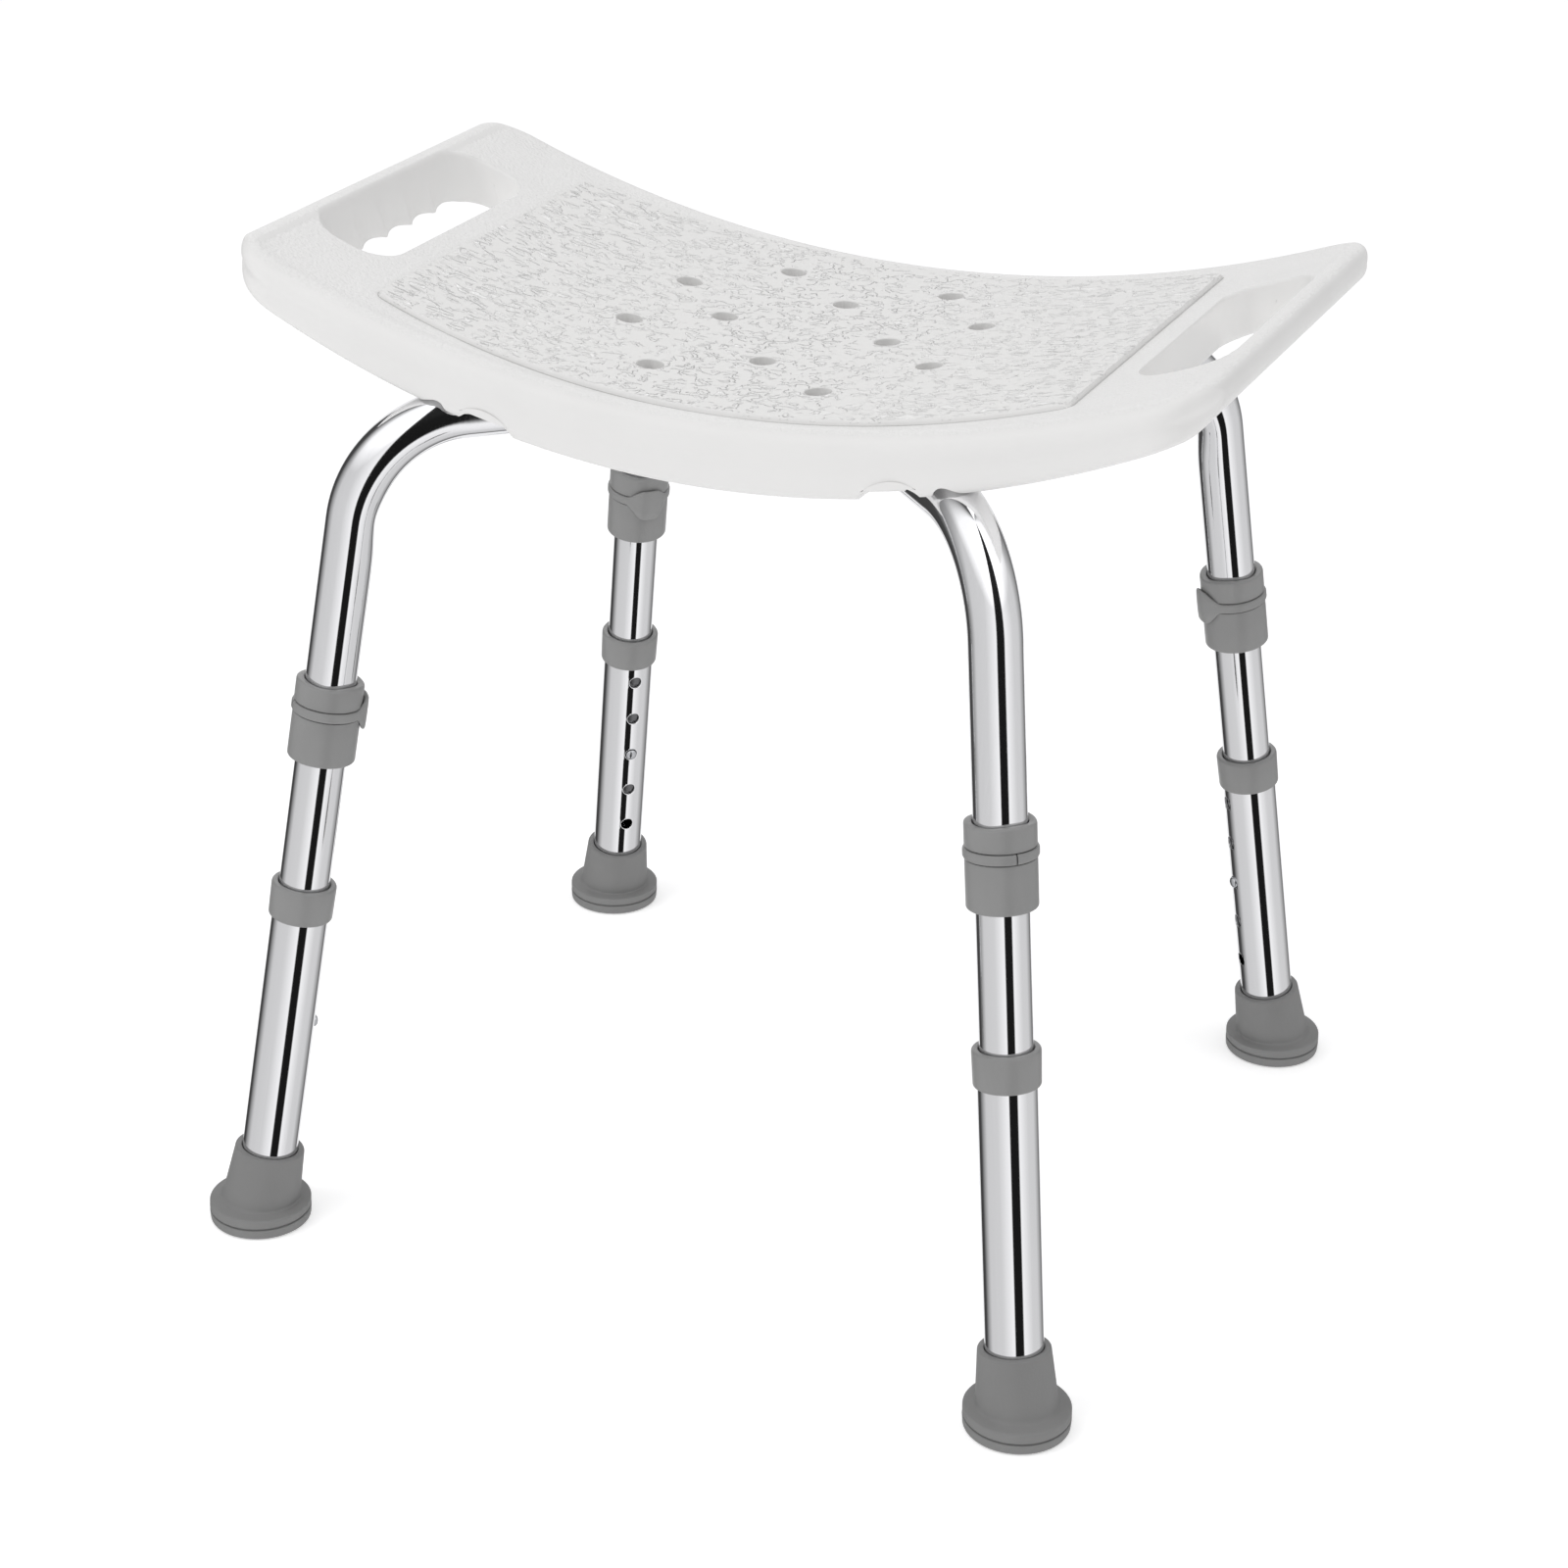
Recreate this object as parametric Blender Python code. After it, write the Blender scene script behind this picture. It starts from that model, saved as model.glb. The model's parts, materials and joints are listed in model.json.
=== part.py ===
"""Shower stool: a blow-moulded saddle seat on two crossed bent tubes, with four adjustable legs.

Metres, +Z up. The origin is on the floor under the middle of the seat. X runs along the seat.
Each leg's pieces hang on an empty: its Z is the leg's axis, and its X points to the stool's middle.
"""

import math

import bmesh
import bpy
from mathutils import Matrix, Vector

# Fits
TOUCH_GAP = 0.0003
SLIDE_CLEARANCE = 0.0003
HOLE_CLEARANCE = 0.0004

# Seat
SEAT_LENGTH = 0.500
SEAT_WIDTH = 0.280
SEAT_END_WIDTH = 0.274
SEAT_CURVE_RADIUS = 0.625
SEAT_OVER_TUBE = 0.0103
SEAT_MIDDLE_THICKNESS = 0.033
SEAT_END_THICKNESS = 0.022
SEAT_WALL = 0.0028
SEAT_CORNER_RADIUS = 0.028
SEAT_EDGE_RADIUS = 0.009
SEAT_LOWER_EDGE_RADIUS = 0.003
SEAT_NOSE_DEPTH = 0.012
SEAT_NOSE_TOP_SHARE = 0.44
SEAT_NOSE_BOTTOM_SHARE = 0.52
SEAT_LEAST_EDGE = 0.001
SEAT_STEP = 0.032
PANEL_FROM_END = 0.0715
PANEL_FROM_SIDE = 0.015
PANEL_FROM_SIDE_AT_ENDS = 0.030
PANEL_RISE = 0.001
PANEL_SLOPE = 0.0006
DRAIN_HOLE_RADIUS = 0.0065
DRAIN_HOLES = [(0.080, 0.034), (0.044, 0.083), (0.0, 0.050), (0.044, 0.0)]
HANDLE_FROM_END = 0.034
HANDLE_SLOT_WIDTH = 0.043
HANDLE_SLOT_LENGTH = 0.152
HANDLE_SLOT_CORNER = 0.018
NOTCH_X = 0.104
NOTCH_WIDTH = 0.030
NOTCH_DEPTH = 0.006
NOTCH_INTO_SKIRT = 0.012
VENT_RADIUS = 0.004
VENT_FROM_SIDE = 0.032

# Frame tubes
TUBE_RADIUS = 0.0127
TUBE_WALL = 0.0012
BEND_RADIUS = 0.058
RUN_HEIGHT = 0.431
CROSSING_GAP = 0.0004
FLAT_EXTRA_HALF_WIDTH = 0.0042
FLAT_REACH = 0.020
FLAT_BLEND = 0.034
FLAT_SQUARENESS = 0.25
CHANNEL_CLEARANCE = 0.0006
BEND_STEPS = 6
FLAT_STEPS = 3

# Legs
FOOT_X = 0.212
FOOT_Y = 0.203
LEG_LEAN = math.radians(9.3)
OUTER_TUBE_WALL = 0.0012
OUTER_TUBE_BOTTOM = 0.0087
OUTER_TUBE_LENGTH = 0.1815
LEG_CLEARANCE = 0.0004
INNER_TUBE_BOTTOM = 0.082
HOLE_PITCH = 0.0254
HOLE_COUNT = 5
BUTTON_HEIGHT = 0.114
BUTTON_RADIUS = 0.0032
BUTTON_PROUD = 0.0020
BUTTON_DOME = 0.0016
BUTTON_FLANGE_RADIUS = 0.0046
BUTTON_FLANGE_THICKNESS = 0.0012
SPRING_THICKNESS = 0.0008
SPRING_WIDTH = 0.006
SPRING_DROP = 0.026
FERRULE_LENGTH = 0.0185
FERRULE_LIP = 0.0025
FERRULE_WALL = 0.00185
COLLAR_BOTTOM = 0.2620
COLLAR_LENGTH = 0.0420
COLLAR_WALL = 0.0039
COLLAR_CHAMFER = 0.0008
COUPLING_DROP = 0.0077
CLIP_DROP = 0.0150
CLIP_BAND_HEIGHT = 0.0052
CLIP_BAND_THICKNESS = 0.0020
CLIP_GROOVE_DEPTH = 0.0014
CLIP_GAP_ANGLE = math.radians(14)
CLIP_TAB_HEIGHT = 0.019
CLIP_TAB_WIDTH = 0.013
CLIP_TAB_CORNER = 0.003
CLIP_TAB_THICKNESS = 0.0028
PEG_RADIUS = 0.0024
SLEEVE_WALL = 0.0012
SLEEVE_BELOW = 0.044
SLEEVE_ABOVE = 0.044
FOOT_CUP_HEIGHT = 0.0405
FOOT_CUP_WALL = 0.0032
FOOT_WAIST_FLARE = 0.0027
FOOT_WAIST_HEIGHT = 0.016
FOOT_FLANGE_STEP = 0.0062
FOOT_FLANGE_HEIGHT = 0.0115
FOOT_FLANGE_EDGE = 0.0020
FOOT_FLANGE_SIDES = 20
WASHER_THICKNESS = 0.0012
WASHER_INSET = 0.0008

# Fasteners
BOLT_RADIUS = 0.0029
BOLT_HEAD_RADIUS = 0.0056
BOLT_HEAD_HEIGHT = 0.0040
HEAD_CROWN_SHARE = 0.75
HEAD_EDGE_SHARE = 0.5
BOLT_WASHER_RADIUS = 0.0085
BOLT_WASHER_THICKNESS = 0.0012
INSERT_RADIUS = 0.0045
INSERT_LENGTH = 0.0070
BOSS_RADIUS = 0.0085
SCREW_RADIUS = 0.0020
SCREW_HEAD_RADIUS = 0.0042
SCREW_HEAD_HEIGHT = 0.0024
SCREW_BITE = 0.0085
SCREW_REACH = 0.115
SCREW_BOSS_RADIUS = 0.0060

# Sizes that follow from the ones above
SEAT_CENTRE_TOP = RUN_HEIGHT + TUBE_RADIUS + SEAT_OVER_TUBE
HANDLE_CENTRE_X = SEAT_LENGTH / 2 - HANDLE_FROM_END
PANEL_HALF_LENGTH = SEAT_LENGTH / 2 - PANEL_FROM_END
FLAT_THICKNESS = TUBE_RADIUS - CROSSING_GAP / 2
OUTER_TUBE_RADIUS = TUBE_RADIUS + LEG_CLEARANCE + OUTER_TUBE_WALL
OUTER_TUBE_TOP = OUTER_TUBE_BOTTOM + OUTER_TUBE_LENGTH
FERRULE_TOP = OUTER_TUBE_TOP + TOUCH_GAP + FERRULE_LIP
FERRULE_RADIUS = OUTER_TUBE_RADIUS + TOUCH_GAP + FERRULE_WALL
COLLAR_TOP = COLLAR_BOTTOM + COLLAR_LENGTH
COLLAR_RADIUS = TUBE_RADIUS + SLIDE_CLEARANCE + COLLAR_WALL
COUPLING_JOINT = COLLAR_TOP - COUPLING_DROP
CLIP_HEIGHT = COLLAR_TOP - CLIP_DROP
CLIP_BAND_INNER = COLLAR_RADIUS - CLIP_GROOVE_DEPTH + TOUCH_GAP
FOOT_CUP_RADIUS = OUTER_TUBE_RADIUS + TOUCH_GAP + FOOT_CUP_WALL
FOOT_WAIST_RADIUS = FOOT_CUP_RADIUS + FOOT_WAIST_FLARE
FOOT_FLANGE_RADIUS = FOOT_WAIST_RADIUS + FOOT_FLANGE_STEP

LEG_SIDES = 16
SMALL_SIDES = 10
BOSS_SIDES = 12
CORNERS = [("fl", -1, -1), ("fr", 1, -1), ("bl", -1, 1), ("br", 1, 1)]


def clear_scene():
    for item in list(bpy.data.objects):
        bpy.data.objects.remove(item, do_unlink=True)


def material(name, colour, roughness, metallic):
    made = bpy.data.materials.new(name)
    made.use_nodes = True
    shader = made.node_tree.nodes["Principled BSDF"]
    shader.inputs["Base Color"].default_value = (*colour, 1.0)
    shader.inputs["Roughness"].default_value = roughness
    shader.inputs["Metallic"].default_value = metallic
    return made


def add_object(name, shape, finish=None, parent=None, place=(0.0, 0.0, 0.0)):
    """A bmesh as a named object, with its faces turned out and its round sides shaded smooth."""
    bmesh.ops.recalc_face_normals(shape, faces=shape.faces[:])
    mesh = bpy.data.meshes.new(name)
    shape.to_mesh(mesh)
    shape.free()
    mesh.shade_smooth()
    mesh.set_sharp_from_angle(angle=math.radians(35))
    made = bpy.data.objects.new(name, mesh)
    if finish:
        mesh.materials.append(finish)
    made.parent = parent
    made.location = place
    bpy.context.scene.collection.objects.link(made)
    return made


def add_cutter(name, shape, parent=None, place=(0.0, 0.0, 0.0)):
    made = add_object(name, shape, None, parent, place)
    made.hide_render = True
    made.display_type = "WIRE"
    return made


def combine(target, tool, operation):
    boolean = target.modifiers.new(tool.name, "BOOLEAN")
    boolean.operation = operation
    boolean.solver = "EXACT"
    boolean.object = tool


def stitch(shape, rings, cap_ends=True, close_path=False):
    """Quads between rings of vertices, with a flat cap on the first and last ring."""
    pairs = list(zip(rings, rings[1:]))
    if close_path:
        pairs.append((rings[-1], rings[0]))
    for low, high in pairs:
        for i in range(max(len(low), len(high))):
            j = (i + 1) % max(len(low), len(high))
            corners = [low[i % len(low)], low[j % len(low)], high[j % len(high)], high[i % len(high)]]
            shape.faces.new(list(dict.fromkeys(corners)))
    if cap_ends and not close_path:
        for ring in (rings[0], rings[-1]):
            if len(ring) > 2:
                shape.faces.new(ring)


def turned(profile, sides, close_profile=False):
    """A profile of (radius, height) points turned round Z; a point at radius 0 is a single vertex."""
    shape = bmesh.new()
    rings = []
    for radius, height in profile:
        if radius == 0:
            rings.append([shape.verts.new((0.0, 0.0, height))])
            continue
        ring = []
        for i in range(sides):
            angle = 2 * math.pi * (i + 0.5) / sides
            ring.append(shape.verts.new((radius * math.cos(angle), radius * math.sin(angle), height)))
        rings.append(ring)
    stitch(shape, rings, cap_ends=True, close_path=close_profile)
    return shape


def rod(radius, low, high, sides=LEG_SIDES):
    return turned([(radius, low), (radius, high)], sides)


def pipe(outer, inner, low, high, sides=LEG_SIDES):
    return turned([(outer, low), (outer, high), (inner, high), (inner, low)], sides, close_profile=True)


def along_x(shape):
    """Turns a shape made round Z so that its axis lies along X."""
    bmesh.ops.rotate(shape, verts=shape.verts[:], matrix=Matrix.Rotation(math.pi / 2, 3, "Y"))
    return shape


def extruded(outline, low, high):
    """A closed outline of (x, y) points pulled straight up from low to high."""
    shape = bmesh.new()
    rings = [[shape.verts.new((x, y, z)) for x, y in outline] for z in (low, high)]
    stitch(shape, rings)
    return shape


def absorb(shape, other, offset=(0.0, 0.0, 0.0)):
    """Adds a copy of another shape, moved by an offset, to this one."""
    copies = {v: shape.verts.new(v.co + Vector(offset)) for v in other.verts}
    for face in other.faces:
        shape.faces.new([copies[v] for v in face.verts])
    other.free()


# Seat


def seat_top(x):
    return SEAT_CENTRE_TOP + SEAT_CURVE_RADIUS - math.sqrt(SEAT_CURVE_RADIUS ** 2 - x * x)


def seat_share(x):
    return (2 * x / SEAT_LENGTH) ** 2


def seat_underside(x):
    thinner = (SEAT_MIDDLE_THICKNESS - SEAT_END_THICKNESS) * seat_share(x)
    return seat_top(x) - SEAT_MIDDLE_THICKNESS + thinner


def seat_half_width(x):
    return (SEAT_WIDTH - (SEAT_WIDTH - SEAT_END_WIDTH) * seat_share(x)) / 2


def panel_half_width(x):
    share = min(1.0, (x / PANEL_HALF_LENGTH) ** 2)
    return SEAT_WIDTH / 2 - PANEL_FROM_SIDE - (PANEL_FROM_SIDE_AT_ENDS - PANEL_FROM_SIDE) * share


def quarter_fall(depth, reach):
    """How far a quarter round of this reach has fallen, at a depth from its outer end."""
    if depth >= reach:
        return 0.0
    return 1.0 - math.sqrt(max(0.0, 1.0 - ((reach - depth) / reach) ** 2))


def seat_section(x, inset, with_panel):
    """The seat's outline across its width at x, as (y, z) points, moved inwards by inset."""
    depth = SEAT_LENGTH / 2 - abs(x)
    corner = SEAT_CORNER_RADIUS
    half = seat_half_width(x) - inset - (corner - inset) * quarter_fall(depth - inset, corner - inset)
    full = seat_top(x) - seat_underside(x)
    fall = quarter_fall(depth - inset, SEAT_NOSE_DEPTH - inset / 2)
    top = seat_top(x) - inset - (SEAT_NOSE_TOP_SHARE * full - inset) * fall
    bottom = seat_underside(x) + inset + (SEAT_NOSE_BOTTOM_SHARE * full - inset) * fall
    left = (top - bottom) / (full - 2 * inset)
    edge = max(SEAT_LEAST_EDGE, SEAT_EDGE_RADIUS - inset) * left
    lower = max(SEAT_LEAST_EDGE, SEAT_LOWER_EDGE_RADIUS - inset) * left
    right = []
    if with_panel:
        panel = min(panel_half_width(x), half - edge - SEAT_LEAST_EDGE)
        rise = PANEL_RISE if abs(x) < PANEL_HALF_LENGTH else 0.0
        right += [(panel - PANEL_SLOPE, top + rise), (panel, top)]
    steps = 3 if with_panel else 1
    for i in range(steps + 1):
        angle = math.pi / 2 * i / steps
        right.append((half - edge + edge * math.sin(angle), top - edge + edge * math.cos(angle)))
    for i in range(2):
        angle = math.pi / 2 * i
        right.append((half - lower + lower * math.cos(angle), bottom + lower - lower * math.sin(angle)))
    return right + [(-y, z) for y, z in reversed(right)]


def seat_stations(inset, with_panel):
    half = SEAT_LENGTH / 2 - inset
    corner = SEAT_CORNER_RADIUS - inset
    straight = half - corner
    count = round(straight / SEAT_STEP)
    right = [straight * (i + 0.5) / (count + 0.5) for i in range(count)]
    right += [straight + corner * math.sin(math.radians(a)) for a in (0, 20, 38, 54, 68, 80, 90)]
    if with_panel:
        right += [PANEL_HALF_LENGTH - PANEL_SLOPE, PANEL_HALF_LENGTH]
    right.sort()
    return [-x for x in reversed(right)] + right


def seat_body(inset=0.0, with_panel=True):
    shape = bmesh.new()
    rings = []
    for x in seat_stations(inset, with_panel):
        rings.append([shape.verts.new((x, y, z)) for y, z in seat_section(x, inset, with_panel)])
    stitch(shape, rings)
    return shape


def rounded_slot(width, length, corner):
    """Outline of a slot centred on the origin: width along X, length along Y."""
    outline = []
    for sx, sy, start in ((1, 1, 0), (-1, 1, 90), (-1, -1, 180), (1, -1, 270)):
        for i in range(5):
            angle = math.radians(start + 90 * i / 4)
            x = sx * (width / 2 - corner) + corner * math.cos(angle)
            outline.append((x, sy * (length / 2 - corner) + corner * math.sin(angle)))
    return outline


def seat_openings(grow):
    """Drain holes and handle slots as one cutter, every wall moved out by grow."""
    shape = bmesh.new()
    low = SEAT_CENTRE_TOP - 2 * SEAT_MIDDLE_THICKNESS
    high = seat_top(SEAT_LENGTH / 2) + SEAT_MIDDLE_THICKNESS
    places = sorted({(sx * x, sy * y) for x, y in DRAIN_HOLES for sx in (-1, 1) for sy in (-1, 1)})
    for x, y in places:
        absorb(shape, rod(DRAIN_HOLE_RADIUS + grow, low, high, SMALL_SIDES), (x, y, 0.0))
    for side in (-1, 1):
        size = (HANDLE_SLOT_WIDTH + 2 * grow, HANDLE_SLOT_LENGTH + 2 * grow)
        outline = rounded_slot(*size, HANDLE_SLOT_CORNER + grow)
        absorb(shape, extruded(outline, low, high), (side * HANDLE_CENTRE_X, 0.0, 0.0))
    return shape


def skirt_notches(grow):
    """Four arches across the lower edge of the long skirts."""
    shape = bmesh.new()
    radius = (NOTCH_WIDTH ** 2 / 4 + NOTCH_DEPTH ** 2) / (2 * NOTCH_DEPTH)
    centre_z = seat_underside(NOTCH_X) + NOTCH_DEPTH - radius
    inner = seat_half_width(NOTCH_X) - NOTCH_INTO_SKIRT - grow
    outer = seat_half_width(NOTCH_X) + NOTCH_DEPTH
    for sx in (-1, 1):
        for sy in (-1, 1):
            arch = rod(radius + grow, min(sy * inner, sy * outer), max(sy * inner, sy * outer), 24)
            bmesh.ops.rotate(arch, verts=arch.verts[:], matrix=Matrix.Rotation(-math.pi / 2, 3, "X"))
            absorb(shape, arch, (sx * NOTCH_X, 0.0, centre_z))
    return shape


def channel_stations(clear):
    """The groove's roof height and half width at each reach from the middle, over the tube below."""
    bend = bend_geometry()
    narrow = TUBE_RADIUS + clear
    wide = narrow + FLAT_EXTRA_HALF_WIDTH
    roof = RUN_HEIGHT + TUBE_RADIUS + clear
    stations = [(FLAT_REACH, roof, wide), (FLAT_REACH + FLAT_BLEND, roof, narrow)]
    bend_reach = BEND_RADIUS + TUBE_RADIUS + clear
    for angle in (0, 12, 24, 36, 48):
        turn = math.radians(angle)
        fall = bend_reach * (1 - math.cos(turn))
        stations.append((bend["run_end"] + bend_reach * math.sin(turn), roof - fall, narrow))
    return stations


def channel_cutter(grow, heading):
    """The groove that a frame tube lies in, open below, turned to the tube's heading."""
    half = channel_stations(CHANNEL_CLEARANCE + grow)
    low = SEAT_CENTRE_TOP - 2.5 * SEAT_MIDDLE_THICKNESS
    shape = bmesh.new()
    rings = []
    for reach, roof, wide in [(-r, h, w) for r, h, w in reversed(half)] + half:
        corners = ((-wide, low), (-wide, roof), (wide, roof), (wide, low))
        rings.append([shape.verts.new((reach, y, z)) for y, z in corners])
    stitch(shape, rings)
    bmesh.ops.rotate(shape, verts=shape.verts[:], matrix=Matrix.Rotation(heading, 3, "Z"))
    return shape


def channel_pair(grow, label):
    """Both grooves joined into one cutter."""
    headings = tube_headings()
    first = add_cutter(f"cut_{label}_channels", channel_cutter(grow, headings["a"]))
    combine(first, add_cutter(f"cut_{label}_channel_b", channel_cutter(grow, headings["b"])), "UNION")
    return first


def tube_headings():
    angle = math.atan2(FOOT_Y, FOOT_X)
    return {"a": angle, "b": -angle}


def screw_places():
    """Screw positions, as (x, y), one on each arm of the frame."""
    angle = math.atan2(FOOT_Y, FOOT_X)
    x = SCREW_REACH * math.cos(angle)
    y = SCREW_REACH * math.sin(angle)
    return {tag: (sx * x, sy * y) for tag, sx, sy in CORNERS}


def channel_roof():
    return RUN_HEIGHT + TUBE_RADIUS + CHANNEL_CLEARANCE


def insert_hole_top():
    return channel_roof() + INSERT_LENGTH + TOUCH_GAP


def pilot_holes():
    shape = bmesh.new()
    low = channel_roof() - SEAT_WALL
    absorb(shape, rod(INSERT_RADIUS + TOUCH_GAP, low, insert_hole_top(), SMALL_SIDES))
    for x, y in screw_places().values():
        hole = rod(SCREW_RADIUS + TOUCH_GAP, low, channel_roof() + SCREW_BITE, SMALL_SIDES)
        absorb(shape, hole, (x, y, 0.0))
    return shape


def screw_bosses():
    """Solid posts between the seat's two walls, round the insert and the four screws."""
    shape = bmesh.new()
    low = SEAT_CENTRE_TOP - SEAT_MIDDLE_THICKNESS
    high = SEAT_CENTRE_TOP + SEAT_MIDDLE_THICKNESS
    absorb(shape, rod(BOSS_RADIUS, low, high, BOSS_SIDES))
    for x, y in screw_places().values():
        absorb(shape, rod(SCREW_BOSS_RADIUS, low, high, BOSS_SIDES), (x, y, 0.0))
    return shape


def features(target, grow, label):
    """Cuts the openings, notches and tube grooves, every wall moved out by grow."""
    combine(target, add_cutter(f"cut_{label}_openings", seat_openings(grow)), "DIFFERENCE")
    combine(target, add_cutter(f"cut_{label}_notches", skirt_notches(grow)), "DIFFERENCE")
    combine(target, channel_pair(grow, label), "DIFFERENCE")


def build_seat(finish):
    seat = add_object("seat", seat_body(), finish)
    hollow = add_cutter("cut_seat_hollow", seat_body(SEAT_WALL, with_panel=False))
    features(hollow, SEAT_WALL, "hollow")
    combine(hollow, add_cutter("cut_hollow_bosses", screw_bosses()), "DIFFERENCE")
    combine(seat, hollow, "DIFFERENCE")
    features(seat, 0.0, "outside")
    combine(seat, add_cutter("cut_pilot_holes", pilot_holes()), "DIFFERENCE")
    low = seat_underside(0.0) - SEAT_WALL
    high = seat_underside(0.0) + 2 * SEAT_WALL
    vent = add_cutter("cut_vent", rod(VENT_RADIUS, low, high, SMALL_SIDES))
    vent.location.y = SEAT_WIDTH / 2 - VENT_FROM_SIDE
    combine(seat, vent, "DIFFERENCE")
    return seat


# Frame


def bend_geometry():
    """Where a bend starts on the leg's axis and ends on the level run, in the leg's own plane."""
    foot_reach = math.hypot(FOOT_X, FOOT_Y)
    turn = math.pi / 2 - LEG_LEAN
    tangent = BEND_RADIUS * math.tan(turn / 2)
    corner = foot_reach - RUN_HEIGHT * math.tan(LEG_LEAN)
    return {"foot_reach": foot_reach, "turn": turn, "run_end": corner - tangent,
            "leg_start": RUN_HEIGHT / math.cos(LEG_LEAN) - tangent}


def tube_path():
    """Half of a frame tube from its lower end to the middle, as (reach, height, tilt) stations.

    reach is the distance from the stool's middle, and tilt is the path's angle from level.
    """
    bend = bend_geometry()
    stations = []
    steep = math.pi / 2 - LEG_LEAN
    for distance in (COUPLING_JOINT, bend["leg_start"]):
        reach = bend["foot_reach"] - distance * math.sin(LEG_LEAN)
        stations.append((reach, distance * math.cos(LEG_LEAN), steep))
    for i in range(1, BEND_STEPS + 1):
        tilt = bend["turn"] * (1 - i / BEND_STEPS)
        reach = bend["run_end"] + BEND_RADIUS * math.sin(tilt)
        stations.append((reach, RUN_HEIGHT - BEND_RADIUS * (1 - math.cos(tilt)), tilt))
    for i in range(FLAT_STEPS + 1):
        stations.append((FLAT_REACH + FLAT_BLEND * (1 - i / FLAT_STEPS), RUN_HEIGHT, 0.0))
    return stations


def flatness(reach):
    share = (FLAT_REACH + FLAT_BLEND - abs(reach)) / FLAT_BLEND
    share = min(1.0, max(0.0, share))
    return share * share * (3 - 2 * share)


def tube_rings(shape, wall, press):
    """The tube's surface, inset by wall. press is 1 where the crossing keeps its top, -1 its bottom."""
    half = [(reach, height, tilt) for reach, height, tilt in tube_path()]
    stations = half + [(-reach, height, -tilt) for reach, height, tilt in reversed(half)]
    rings = []
    for reach, height, tilt in stations:
        flat = flatness(reach) if height == RUN_HEIGHT else 0.0
        tall = TUBE_RADIUS + (FLAT_THICKNESS / 2 - TUBE_RADIUS) * flat
        wide = TUBE_RADIUS + FLAT_EXTRA_HALF_WIDTH * flat - wall
        lift = press * (TUBE_RADIUS - tall)
        up = Vector((math.sin(tilt), 0.0, math.cos(tilt)))
        centre = Vector((reach, 0.0, height + lift))
        ring = []
        for i in range(LEG_SIDES):
            angle = 2 * math.pi * (i + 0.5) / LEG_SIDES
            squarer = 1 + FLAT_SQUARENESS * flat * abs(math.sin(2 * angle))
            side = Vector((0.0, wide * math.sin(angle), 0.0))
            height_part = max(-1.0, min(1.0, math.cos(angle) * squarer)) * (tall - wall)
            ring.append(shape.verts.new(centre + side + up * height_part))
        rings.append(ring)
    return rings


def frame_tube(tag, heading, press, finish):
    shape = bmesh.new()
    outer = tube_rings(shape, 0.0, press)
    inner = tube_rings(shape, TUBE_WALL, press)
    stitch(shape, outer + inner[::-1], close_path=True)
    tube = add_object(f"frame_tube_{tag}", shape, finish)
    tube.rotation_euler = (0.0, 0.0, heading)
    drills = bmesh.new()
    low = RUN_HEIGHT - 2 * TUBE_RADIUS
    high = RUN_HEIGHT + 2 * TUBE_RADIUS
    absorb(drills, rod(BOLT_RADIUS + HOLE_CLEARANCE, low, high, SMALL_SIDES))
    for side in (-1, 1):
        drill = rod(SCREW_RADIUS + HOLE_CLEARANCE, low, high, SMALL_SIDES)
        absorb(drills, drill, (side * SCREW_REACH, 0.0, 0.0))
    combine(tube, add_cutter(f"cut_tube_{tag}", drills, tube), "DIFFERENCE")
    return tube


def headed_pin(radius, head_radius, head_height, seat, shoulder, tip):
    """A bolt or screw pointing up: its head hangs below seat, and its shank ends at shoulder and tip."""
    low = seat - head_height
    edge = seat - head_height * HEAD_EDGE_SHARE
    profile = [(0, low), (head_radius * HEAD_CROWN_SHARE, low), (head_radius, edge),
               (head_radius, seat), (radius, seat), (radius, shoulder), (0, tip)]
    return turned(profile, SMALL_SIDES)


def build_frame(chrome, steel, brass):
    headings = tube_headings()
    frame_tube("a", headings["a"], 1, chrome)
    frame_tube("b", headings["b"], -1, chrome)
    under = RUN_HEIGHT - TUBE_RADIUS - TOUCH_GAP
    roof = channel_roof()
    insert = pipe(INSERT_RADIUS, BOLT_RADIUS + HOLE_CLEARANCE, roof, roof + INSERT_LENGTH, SMALL_SIDES)
    add_object("centre_insert", insert, brass)
    washer = pipe(BOLT_WASHER_RADIUS, BOLT_RADIUS + HOLE_CLEARANCE, under - BOLT_WASHER_THICKNESS, under)
    add_object("centre_washer", washer, steel)
    head_top = under - BOLT_WASHER_THICKNESS - TOUCH_GAP
    bolt_tip = roof + INSERT_LENGTH - TOUCH_GAP
    bolt = headed_pin(BOLT_RADIUS, BOLT_HEAD_RADIUS, BOLT_HEAD_HEIGHT, head_top, bolt_tip, bolt_tip)
    add_object("centre_bolt", bolt, steel)
    tip = roof + SCREW_BITE - TOUCH_GAP
    for tag, (x, y) in screw_places().items():
        shoulder = tip - SCREW_RADIUS
        screw = headed_pin(SCREW_RADIUS, SCREW_HEAD_RADIUS, SCREW_HEAD_HEIGHT, under, shoulder, tip)
        add_object(f"seat_screw_{tag}", screw, steel, place=(x, y, 0.0))


# Legs


def leg_empty(tag, sx, sy):
    """An empty on the floor under the leg: Z up the leg's axis, X towards the stool's middle."""
    empty = bpy.data.objects.new(f"leg_axis_{tag}", None)
    empty.location = (sx * FOOT_X, sy * FOOT_Y, 0.0)
    empty.rotation_euler = (0.0, LEG_LEAN, math.atan2(-sy * FOOT_Y, -sx * FOOT_X))
    bpy.context.scene.collection.objects.link(empty)
    return empty


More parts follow.
